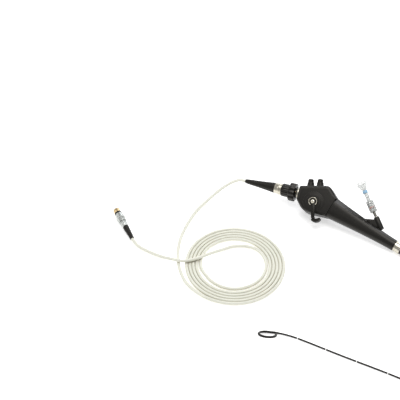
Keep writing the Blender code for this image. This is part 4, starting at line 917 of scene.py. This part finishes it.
LEVER_ANGLE = radians(-58.5)
BUSH_TOP = NEAR_DEPTH + 1.6 + GAP
BUSH_FLANGE_TOP = NEAR_DEPTH - FACE_WALL - GAP
BUSH_FOOT = 11
BOSS_FOOT = BUSH_TOP + GAP
BOSS_TOP = BOSS_FOOT + 3.2
LEVER_BOSS_R = 6
HUB_RING_R = 7.4
HUB_RING_TOP = BOSS_TOP + 1
LEVER_LEG_R = 26.4
LEVER_LEG_OUT = LEVER_LEG_R + 3
LEVER_LEG_FOOT = 11
LEVER_ROOT_WIDTH = 7.4
LEVER_TIP_WIDTH = 5.8
NOTCH = LEVER_ROOT_WIDTH / 2 + GAP
CAP_R = 3.5
CAP_FOOT = BOSS_TOP + GAP
CAP_RISE = 1.9
CAP_TOP = CAP_FOOT + CAP_RISE
SHAFT_BORE = 3.3
PAD_IN = LEVER_LEG_OUT + GAP
PAD_FOOT = LEVER_LEG_FOOT - 2.5
PAD_HEIGHT = 12


def lever_plane(radial, tangent):
    out = Vector((cos(LEVER_ANGLE), sin(LEVER_ANGLE)))
    return out * radial + Vector((-out.y, out.x)) * tangent


lathe(
    "shaft_bush_ring",
    [(SHAFT_BORE, BUSH_TOP), (BUSH_R, BUSH_TOP), (BUSH_R, BUSH_FLANGE_TOP),
     (BUSH_R + 1.6, BUSH_FLANGE_TOP), (BUSH_R + 1.6, BUSH_FOOT), (SHAFT_BORE, BUSH_FOOT)],
    HANDLE, GOLD, "brass", ("shaft_bush",),
)


def lever_arm_mesh():
    arm = prism_mesh(rounded_outline(
        [(0, BOSS_FOOT, 0), (LEVER_LEG_R, BOSS_FOOT, 1), (LEVER_LEG_R, LEVER_LEG_FOOT, 0),
         (LEVER_LEG_OUT, LEVER_LEG_FOOT, 0), (LEVER_LEG_OUT, BOSS_TOP, 3), (0, BOSS_TOP, 0)]
    ), -0.5, 0.5)
    for vert in arm.verts:
        radial, height, side = vert.co
        blend = min(1, max(0, (radial - HUB_RING_R) / (LEVER_LEG_R - HUB_RING_R)))
        width = LEVER_ROOT_WIDTH + (LEVER_TIP_WIDTH - LEVER_ROOT_WIDTH) * blend
        vert.co = (*lever_plane(radial, side * width), height)
    bmesh.ops.recalc_face_normals(arm, faces=arm.faces)
    round_edges(arm, [
        edge for edge in arm.edges
        if len(edge.link_faces) == 2 and edge.calc_face_angle() > radians(60)
    ], 0.5, 3)
    boss = lathe_mesh(
        [(SHAFT_BORE, BOSS_TOP), (LEVER_BOSS_R, BOSS_TOP), (LEVER_BOSS_R, BOSS_FOOT),
         (SHAFT_BORE, BOSS_FOOT)], fillet=0.4,
    )
    return join_meshes(arm, boss)


new_piece(
    "lever_arm_skin", lever_arm_mesh(), HANDLE, KNOB, "black_knob", ("lever_arm",), body="lever",
)
hub_ring = lathe_skin(
    "hub_ring",
    [(LEVER_BOSS_R + GAP, HUB_RING_TOP - 0.3), (LEVER_BOSS_R + 0.5, HUB_RING_TOP),
     (HUB_RING_R - 0.3, HUB_RING_TOP), (HUB_RING_R, HUB_RING_TOP - 0.5),
     (HUB_RING_R, BOSS_FOOT), (LEVER_BOSS_R + GAP, BOSS_FOOT)],
    HANDLE, SILVER_HUB, "silver", segments=96, fillet=0.2, body="lever",
)
cut(hub_ring, HANDLE, prism_mesh(
    [lever_plane(*spot) for spot in (
        (0, -NOTCH), (2 * HUB_RING_R, -NOTCH), (2 * HUB_RING_R, NOTCH), (0, NOTCH))],
    BOSS_FOOT - 1, HUB_RING_TOP + 1,
))
hub_cap = lathe_skin(
    "hub_cap",
    [(0, CAP_TOP),
     *((CAP_R * cos(radians(angle)), CAP_FOOT + CAP_RISE * sin(radians(angle)))
       for angle in range(84, 0, -6)),
     (CAP_R, CAP_FOOT), (0, CAP_FOOT)],
    HANDLE, SILVER_HUB, "silver", fillet=0, body="lever",
)
cut(hub_cap, HANDLE, prism_mesh(
    [(-0.5, -CAP_R * 1.2), (0.5, -CAP_R * 1.2), (0.5, CAP_R * 1.2), (-0.5, CAP_R * 1.2)],
    CAP_FOOT + CAP_RISE * 0.55, CAP_TOP + 1,
))
hook = [
    lever_plane(PAD_IN + radial, tangent)
    for radial, tangent in rounded_outline(
        [(0, -3.4, 1), (2.6, -3.4, 2), (5.6, 2.5, 5), (4.8, 8.5, 4), (0.6, 13, 1.6),
         (-2.2, 11.4, 1.2), (-0.4, 5.8, 2), (0, 3.2, 0)])
]
new_piece(
    "thumb_pad_skin", prism_mesh(hook, PAD_FOOT, PAD_FOOT + PAD_HEIGHT, 0.9, 4), HANDLE,
    RUBBER, "black_rubber", ("thumb_pad",), body="lever",
)


# Push buttons

BUTTON_CAP_R = 5
GUIDE_HEIGHT = 8
GUIDE_BORE = BUTTON_CAP_R + RUNNING_GAP
BUTTON_TOP = 14
CAP_SKIRT = -11.6
STEM_END = -19.8
for number, button in enumerate(BUTTONS, 1):
    axes = HANDLE @ button
    lathe(
        f"button_guide_skin_{number}",
        [(GUIDE_BORE, GUIDE_HEIGHT - 0.4), (GUIDE_BORE + 0.2, GUIDE_HEIGHT),
         (5.7, GUIDE_HEIGHT), (6, 5.2), (6.6, 1.4), (6.6, GAP), (GUIDE_BORE, GAP)],
        axes, RUBBER, "black_rubber", (f"button_guide_{number}",), fillet=0.3,
    )
    lathe(
        f"button_cap_skin_{number}",
        [(0, -0.5), (1.6, -0.45), (3, -0.15), (3.5, 0), (4.4, -0.5), (BUTTON_CAP_R, -2),
         (BUTTON_CAP_R, CAP_SKIRT), (BUTTON_STEM_R, CAP_SKIRT), (BUTTON_STEM_R, STEM_END),
         (0, STEM_END)],
        axes @ shift(0, 0, BUTTON_TOP), KNOB, "black_knob", (f"button_cap_{number}",), fillet=0.5,
        body=f"button_{number}",
    )


# Grip with its channel port, ferrule and bend protector

GRIP_SIDES = 120
GRIP_SECTIONS = 48
PORT_R = 4.9
PORT_LENGTH = 27
PORT_BORE_R = 2.6
WEB_THICK = 6
WEB_REACH = 18
FERRULE_R = 9.75
FERRULE_BODY_R = FERRULE_R - 0.5
FERRULE_GROOVE_R = FERRULE_R - 0.75
TUBE_WAY = 4.5
SPIGOT_R = GRIP_END_R - BODY_WALL - GAP
SPIGOT_FOOT = -8
PROTECTOR_R = 8.4
PROTECTOR_BORE = TUBE_R + GAP


def grip_ring(share, wall=0):
    half_y, half_z = (half - wall for half in grip_half_sizes(share))
    left = 1 - share
    power = 2 + (GRIP_SQUARENESS - 2) * left

    def reach(z_way, y_way):
        return (abs(z_way / half_z) ** power + abs(y_way / half_y) ** power) ** (-1 / power)

    x = SEAM_X + GAP + (GRIP_LENGTH - GAP) * share
    corner_z, corner_y = cos(GRIP_FACET_ANGLE), sin(GRIP_FACET_ANGLE)
    flat = reach(corner_z, corner_y) * (1 - (1 - GRIP_FACET_SHARE) * left ** 0.5)
    ring = []
    for z_way, y_way, _ in circle(1, GRIP_SIDES):
        radius = reach(z_way, y_way)
        towards = abs(z_way) * corner_z + y_way * corner_y
        if wall == 0 and towards > 0:
            radius = min(radius, flat / towards)
        ring.append(Vector((x, GRIP_Y + radius * y_way, radius * z_way)))
    return ring


def grip_mesh():
    shares = [index / (GRIP_SECTIONS - 1) for index in range(GRIP_SECTIONS)]
    outer = [grip_ring(share) for share in shares]
    inner = [grip_ring(share, BODY_WALL) for share in reversed(shares)]
    shell = loft_mesh(outer + inner, closed_tube=True)
    away = Vector((cos(PORT_ANGLE), sin(PORT_ANGLE)))
    across = Vector((away.y, -away.x))
    corner = PORT_MOUTH.xy - across * (PORT_R - 0.8) - away * 1.5
    root = PORT_MOUTH.xy - away * (PORT_LENGTH - 4)
    web_x = PORT_MOUTH.x - WEB_REACH
    wall_y = GRIP_Y + grip_half_sizes((web_x - SEAM_X) / GRIP_LENGTH)[0]
    web = prism_mesh(
        [(web_x, wall_y - 1.4), corner, root, (PORT_MOUTH.x, wall_y - 2.4)],
        -WEB_THICK / 2, WEB_THICK / 2, 0.8,
    )
    housing = lathe_mesh(
        [(PORT_BORE_R, 0), (PORT_R, 0), (PORT_R, 5 - PORT_LENGTH), (PORT_BORE_R, 5 - PORT_LENGTH)],
        fillet=0.4,
    )
    return join_meshes(shell, web, placed(housing, PORT_LOCAL))


new_piece("grip_skin", grip_mesh(), HANDLE, SHELL, "black_shell", ("grip_shell",), sharp=12)
lathe_skin(
    "distal_ferrule",
    [(TUBE_WAY, FERRULE_LENGTH), (FERRULE_BODY_R, FERRULE_LENGTH),
     (FERRULE_R, FERRULE_LENGTH - 0.5), (FERRULE_R, FERRULE_LENGTH - 3),
     (FERRULE_BODY_R, FERRULE_LENGTH - 3.2), (FERRULE_BODY_R, 3.6), (FERRULE_GROOVE_R, 3.4),
     (FERRULE_GROOVE_R, 2.8), (FERRULE_BODY_R, 2.6), (FERRULE_BODY_R, 0.5),
     (FERRULE_R - 0.8, 0), (SPIGOT_R, 0), (SPIGOT_R, SPIGOT_FOOT), (TUBE_WAY, SPIGOT_FOOT)],
    GRIP @ shift(0, 0, FERRULE_FOOT), SILVER_GRIP, "silver", segments=96,
)
tip = PROTECTOR_LENGTH
side_curve = flow(
    [(3, tip - 1.6), (3.3, tip * 0.75), (4.6, tip * 0.45), (7.2, tip * 0.16), (8.25, 4.2)],
)
lathe_skin(
    "bend_protector",
    [(PROTECTOR_BORE, tip - SEAT), (PROTECTOR_BORE, tip), (2.5, tip), *side_curve,
     (PROTECTOR_R, 3.4), (PROTECTOR_R, 2.4), (8.1, 2.2), (8.1, 1.6), (PROTECTOR_R, 1.4),
     (PROTECTOR_R, 0), (4.2, 0), (4.2, SPIGOT_FOOT), (PROTECTOR_BORE, SPIGOT_FOOT)],
    GRIP @ shift(0, 0, PROTECTOR_FOOT), RUBBER, "black_rubber", fillet=0.25,
)


# Clear adaptor on the port

STEM_R = 3.4
STEM_BORE_R = 2.5
STEM_GAP_R = STEM_R + GAP
STEM_BEAD_R = STEM_R + 0.7
COLLAR_FOOT = 11
COLLAR_TOP = 31.5
BAND_FOOT = 46.5
BAND_TOP = 51.5
BAND_R = 4.3
ADAPTOR_TOP = 66
FUNNEL_R = 9.4
FUNNEL_NECK = BAND_TOP + 1.2
POST_R = 2.2
POST_TOP = 14
RIDGE_R = 3
RIDGE_SIDE_R = RIDGE_R - 0.1
STEM_FOOT = COLLAR_FOOT + 1
STEM_TOP = BAND_FOOT + 2.5
FLANGE_R = STEM_R + 0.9
FLANGE_TOP = STEM_FOOT + 1.6
ROOM_R = FLANGE_R + 0.8
threads = []
for turn in range(5):
    high = 10.4 - turn * 1.5
    threads += [(POST_R, high), (RIDGE_SIDE_R, high - 0.45), (RIDGE_R, high - 0.6),
                (RIDGE_SIDE_R, high - 0.75), (POST_R, high - 1.2)]
lathe_skin(
    "port_fitting",
    [(1.2, POST_TOP), (1.9, POST_TOP), (POST_R, POST_TOP - 0.6), *threads, (POST_R, 1.5),
     (PORT_R - 0.5, 1.5), (PORT_R - 0.5, GAP), (2.3, GAP), (2.3, -12), (1.2, -12)],
    PORT, STEEL_PORT, "steel", fillet=0.08,
)
lathe_skin(
    "adaptor_stem",
    [(STEM_BORE_R, STEM_TOP), (STEM_R, STEM_TOP), (STEM_R, 42.4), (STEM_BEAD_R, 41.6),
     (STEM_BEAD_R, 39.4), (STEM_R, 38.6), (STEM_R, FLANGE_TOP), (FLANGE_R, FLANGE_TOP),
     (FLANGE_R, STEM_FOOT), (STEM_BORE_R, STEM_FOOT)],
    PORT, CLEAR, "clear_plastic",
)
lathe_skin(
    "o_ring",
    [(STEM_GAP_R, 20.7), (STEM_R + 1.4, 20.7), (STEM_R + 1.4, 18.3), (STEM_GAP_R, 18.3)],
    PORT, RED, "seal_red", fillet=0.5,
)
lathe_skin(
    "seal_band",
    [(STEM_GAP_R, BAND_TOP), (BAND_R, BAND_TOP), (BAND_R, BAND_FOOT), (STEM_GAP_R, BAND_FOOT)],
    PORT, BLUE, "seal_blue", fillet=0.3,
)
lathe_skin(
    "adaptor_funnel",
    [(FUNNEL_R - 1.1, ADAPTOR_TOP), (FUNNEL_R, ADAPTOR_TOP),
     (FUNNEL_R, ADAPTOR_TOP - 1.4), (FUNNEL_R - 0.8, ADAPTOR_TOP - 2),
     (BAND_R + 0.9, FUNNEL_NECK + 1.4), (STEM_R, FUNNEL_NECK), (STEM_R, STEM_TOP + GAP),
     (STEM_BORE_R, STEM_TOP + GAP), (STEM_BORE_R, FUNNEL_NECK + 0.4),
     (BAND_R - 0.2, FUNNEL_NECK + 2.2)],
    PORT, CLEAR, "clear_plastic", fillet=0.3,
)


def lobed_skin(node, radius, scallop, lobes, steps, low, high, rim, bores, axes, look, slot,
               **more):
    """A ring with a lobed outside, rounded rims and a stepped bore, given top to bottom."""
    levels = [(rim * (1 - sin(a)), low + rim * (1 - cos(a))) for a in quarter(4)]
    levels += [(rim * (1 - cos(a)), high - rim * (1 - sin(a))) for a in quarter(4)]
    sides = [
        (way, radius - scallop * cos(pi * index / steps) ** 4)
        for index, way in enumerate(circle(1, lobes * steps))
    ]
    loops = [
        [way * (reach - inset) + along_z(height) for way, reach in sides]
        for inset, height in levels
    ]
    loops += [circle(bore, len(sides), height) for bore, height in bores]
    return new_piece(
        f"{node}_skin", loft_mesh(loops, closed_tube=True), axes, look, slot, (node,), **more
    )


lobed_skin(
    "adaptor_collar", 6.3, 0.5, 10, 12, COLLAR_FOOT, COLLAR_TOP, 0.6,
    [(STEM_GAP_R, COLLAR_TOP), (STEM_GAP_R, COLLAR_TOP - 2.4), (ROOM_R, COLLAR_TOP - 3.4),
     (ROOM_R, COLLAR_FOOT)],
    PORT, CLEAR, "clear_plastic", body="adaptor_nut",
)


# Camera cable socket, coupling, collar, ferrule and boot

NECK_R = 8.4
NECK_FOOT = 3.6
NECK_TOP = NECK_FOOT + 12.4
COUPLING_BORE = NECK_R + RUNNING_GAP
COUPLING_LIP = COUPLING_FOOT - 1.9
CABLE_HOLE = CABLE_R + GAP
CABLE_FERRULE_R = 10.1
lathe_skin(
    "body_collar",
    [(6.3, 3.3), (8.75, 3.3), (9.25, 2.8), (9.25, 0.8), (8.75, GAP), (6.3, GAP)],
    NOSE, SILVER_NOSE, "silver", segments=96,
)
lathe_skin(
    "socket_neck",
    [(4, NECK_TOP), (NECK_R, NECK_TOP), (NECK_R, NECK_FOOT), (6, NECK_FOOT), (6, -3.5),
     (4, -3.5)],
    NOSE, KNOB, "black_knob", segments=96,
)
lathe_skin(
    "index_pin",
    [(0, NECK_R + 0.6), (0.6, NECK_R + 0.6), (0.8, NECK_R + 0.3), (0.8, NECK_R - 1),
     (0, NECK_R - 1)],
    NOSE @ shift(0, 0, NECK_FOOT + 2) @ Matrix.Rotation(pi / 2, 4, "Y"), GOLD, "brass",
    segments=32, fillet=0.1,
)
lobed_skin(
    "coupling_ring", 16, 1.6, 9, 16, COUPLING_LIP, COUPLING_TOP, 1.4,
    [(COUPLING_BORE + 0.4, COUPLING_TOP), (COUPLING_BORE, COUPLING_TOP - 0.4),
     (COUPLING_BORE, COUPLING_FOOT + 0.6), (COUPLING_BORE + 1.2, COUPLING_FOOT),
     (COUPLING_BORE + 1.6, COUPLING_LIP)],
    NOSE, KNOB, "black_knob", body="coupling",
)
lobed_skin(
    "cable_collar", 11.2, 0.6, 16, 10, CABLE_COLLAR_FOOT, CABLE_COLLAR_TOP, 0.8,
    [(3.5, CABLE_COLLAR_TOP), (3.5, CABLE_COLLAR_FOOT)], NOSE, KNOB, "black_rubber",
)
top = CABLE_FERRULE_TOP - CABLE_FERRULE_FOOT
grooves = []
for place in (5.4, 4.2, 3, 1.8):
    grooves += [(CABLE_FERRULE_R, place + 0.25), (9.95, place + 0.15), (9.95, place - 0.15),
                (CABLE_FERRULE_R, place - 0.25)]
lathe_skin(
    "cable_ferrule",
    [(0, top), (8.8, top), (9.1, top - 0.3), (9.4, 7.4), (9.8, 6.65), *grooves,
     (CABLE_FERRULE_R, 0.5), (9.6, 0), (0, 0)],
    NOSE @ shift(0, 0, CABLE_FERRULE_FOOT), SILVER_NOSE, "silver", segments=96, fillet=0.06,
)
tip = BOOT_LENGTH
boot_curve = flow([(3.9, tip - 2.4), (4.9, tip - 13), (6.15, tip / 2), (7.6, 13), (8.9, 2)])
lathe_skin(
    "cable_boot",
    [(CABLE_HOLE, tip - SEAT), (CABLE_HOLE, tip), (3.45, tip), (3.5, tip - 0.9), *boot_curve,
     (8.9, 0), (CABLE_HOLE, 0)],
    NOSE @ shift(0, 0, BOOT_FOOT), RUBBER, "black_rubber", fillet=0.3,
)


# Plug

RELIEF_LENGTH = 28.5
NUT_R = 6.2
NUT_FOOT = RELIEF_LENGTH + GAP
NUT_TOP = NUT_FOOT + 9
NUT_TEETH = 28
NUT_FLUTE = 0.3
BARREL_R = 5.4
BARREL_FLANGE_R = BARREL_R + 0.8
BARREL_FOOT = NUT_TOP + GAP
BARREL_TOP = BARREL_FOOT + 24
BARREL_HOLE = BARREL_R + GAP
SLEEVE_R = 8
SLEEVE_FOOT = BARREL_FOOT + 2.9
SLEEVE_LENGTH = 17.8
SEAL_R = 6.4
SEAL_TOP = BARREL_TOP - GAP
SEAL_FOOT = SEAL_TOP - 2.6
NOSE_SHELL_LENGTH = 7
NOSE_FACE = PLUG @ shift(0, 0, BARREL_TOP + GAP + NOSE_SHELL_LENGTH)
relief_side = []
for rib in range(6):
    place = 4 + rib * 3.4
    here = 3.5 + 1.7 * place / RELIEF_LENGTH
    relief_side += [(here, place), (here - 0.45, place + 0.25), (here - 0.42, place + 1.15),
                    (here + 0.05, place + 1.4)]
relief = lathe_skin(
    "plug_relief",
    [(CABLE_HOLE, SEAT), (CABLE_HOLE, 0.1), (3.4, 0), (3.5, 0.4), *relief_side,
     (5.15, RELIEF_LENGTH - 2), (4.8, RELIEF_LENGTH), (CABLE_HOLE, RELIEF_LENGTH)],
    PLUG, RUBBER, "black_rubber", fillet=0.12,
)


def knurled_mesh(profile, low, high):
    """A lathe whose wall between two heights carries shallow lengthwise flutes."""
    bm = lathe_mesh(profile, NUT_TEETH * 4, 0.12)
    for vert in bm.verts:
        radius = vert.co.xy.length
        if low < vert.co.z < high and radius > BARREL_R:
            angle = atan2(vert.co.y, vert.co.x)
            drop = NUT_FLUTE * (0.5 - 0.5 * cos(NUT_TEETH * angle))
            vert.co.xy *= (radius - drop) / radius
    return bm


nut = new_piece(
    "plug_nut_skin",
    knurled_mesh(
        [(0, NUT_TOP), (NUT_R - 0.3, NUT_TOP), (NUT_R, NUT_TOP - 0.3), (NUT_R, NUT_TOP - 3),
         (NUT_R - 0.7, NUT_TOP - 3.4), (5.3, NUT_FOOT + 0.4), (4.9, NUT_FOOT), (0, NUT_FOOT)],
        NUT_TOP - 3.1, NUT_TOP - 0.2,
    ),
    PLUG, PLUG_METAL, "steel", ("plug_nut",),
)
barrel = lathe_skin(
    "plug_barrel",
    [(0, BARREL_TOP), (BARREL_R, BARREL_TOP), (BARREL_R, BARREL_FOOT + 1),
     (BARREL_FLANGE_R, BARREL_FOOT + 1), (BARREL_FLANGE_R, BARREL_FOOT), (0, BARREL_FOOT)],
    PLUG, PLUG_METAL, "steel",
)
high = SLEEVE_LENGTH
ridges = []
for place in (4.6, 3.6, 2.6, 1.6):
    ridges += [(6.75, place + 0.3), (6.5, place + 0.1), (6.5, place - 0.3),
                      (6.7, place - 0.5)]
sleeve = lathe_skin(
    "plug_sleeve",
    [(BARREL_HOLE, high), (SEAL_R - 0.3, high), (SEAL_R, high - 0.3), (SEAL_R + 0.4, high - 5),
     (SLEEVE_R - 0.4, 8.4), (SLEEVE_R, 7.8), (SLEEVE_R, 6.4), (SLEEVE_R - 0.8, 5.8),
     *ridges, (NUT_R + 0.3, 0), (BARREL_HOLE, 0)],
    PLUG @ shift(0, 0, SLEEVE_FOOT), PLUG_METAL, "steel", fillet=0.12, body="sleeve", sharp=30,
)
seal = lathe_skin(
    "plug_seal",
    [(BARREL_HOLE, SEAL_TOP), (SEAL_R, SEAL_TOP), (SEAL_R, SEAL_FOOT), (BARREL_HOLE, SEAL_FOOT)],
    PLUG, RUBBER, "black_rubber", fillet=0.35,
)
nose = lathe(
    "plug_nose_shell",
    [(4.7, 0), (5.5, 0), (5.7, -0.3), (5.7, -NOSE_SHELL_LENGTH), (0, -NOSE_SHELL_LENGTH),
     (0, -2.6), (4.7, -2.6)],
    NOSE_FACE, GOLD, "brass", ("plug_contacts",), fillet=0,
)
insulator = lathe(
    "plug_insulator", [(0, -2), (4.6, -2), (4.6, -2.5), (0, -2.5)], NOSE_FACE, INSULATOR,
    "black_rubber", ("plug_contacts",), fillet=0.08,
)
pin_profile = [(0, -0.5), (0.36, -0.55), (0.42, -0.8), (0.42, -2.2), (0, -2.2)]
pins = new_piece(
    "plug_pins",
    join_meshes(*(
        placed(lathe_mesh(pin_profile, 20, 0.05), Matrix.Translation(place))
        for place in (Vector(), *circle(1.7, 6), *circle(3.3, 12))
    )),
    NOSE_FACE, GOLD, "brass", ("plug_contacts",),
)


# Screws in the far half, with hex sockets

SCREW_LENGTH = FAR_DEPTH + 3.3
HEX_R = 1.1
HEX_DEPTH = 0.8
for number, place in enumerate(SCREW_PLACES, 1):
    axes = HANDLE @ shift(*place, -FAR_DEPTH)
    screw = lathe(
        f"shell_screw_skin_{number}",
        [(0, SCREW_LENGTH), (1.2, SCREW_LENGTH), (1.2, 1.3), (2.1, 1.3), (2.1, 0), (0, 0)],
        axes, STEEL_SCREW, "steel", (f"shell_screw_{number}",), segments=48, fillet=0.2,
    )
    cut(screw, axes, prism_mesh([spot.xy for spot in circle(HEX_R, 6)], -1, HEX_DEPTH))


# Finish of the CAD pieces that stay, mostly inside

KEPT = ["chassis", "wire_pulley", "lever_shaft", "inner_tube", "switch_board", "bend_base"]
KEPT += [f"link_{number:02d}" for number in range(1, LINKS + 1)]
for name in KEPT:
    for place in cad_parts[name].material_slots:
        place.material = BOARD if name == "switch_board" else STEEL


# Floor and light, in metres

FLOOR_HALF = 6
FLOOR_Z = -0.0002
FLOOR_GLOW = 0.52
WORLD_LIGHT = 0.46
floor_mesh = bpy.data.meshes.new("floor")
floor_mesh.from_pydata(
    [(x * FLOOR_HALF, y * FLOOR_HALF, 0) for x, y in ((-1, -1), (1, -1), (1, 1), (-1, 1))],
    [], [(0, 1, 2, 3)],
)
floor_mesh.materials.append(surface(
    "floor_paper", (0.93, 0.93, 0.928), (0.95, 0.95, 0.948), (0.75, 0.9), 300, 0.01, patch=2,
    Emission_Color=(1, 1, 1, 1), Emission_Strength=FLOOR_GLOW,
))
floor = add_object("floor", floor_mesh)
floor.location.z = FLOOR_Z


def soft_box(name, place, aim, size, power, colour=(1, 1, 1)):
    data = bpy.data.lights.new(name, "AREA")
    data.shape = "RECTANGLE"
    data.size, data.size_y = size
    data.energy = power
    data.color = colour
    light = add_object(name, data)
    light.location = place
    way = Vector(aim) - Vector(place)
    light.rotation_mode = "QUATERNION"
    light.rotation_quaternion = way.to_track_quat("-Z", "Y")


soft_box("top_light", (-0.1, 0.1, 2.2), (0, -0.1, 0), (1.7, 1.7), 28, (1, 0.995, 0.985))
soft_box("back_light", (-0.7, 1.9, 1), (0, 0, 0), (1.8, 0.7), 14, (0.93, 0.95, 1))
soft_box("side_light", (-1.9, -0.9, 1.2), (0, 0, 0), (1.2, 1.2), 6)
world = bpy.data.worlds.new("studio")
bpy.context.scene.world = world
world.use_nodes = True
set_inputs(world.node_tree.nodes["Background"], {"Color": (1, 1, 1, 1), "Strength": WORLD_LIGHT})
bpy.context.scene.view_settings.view_transform = "Standard"
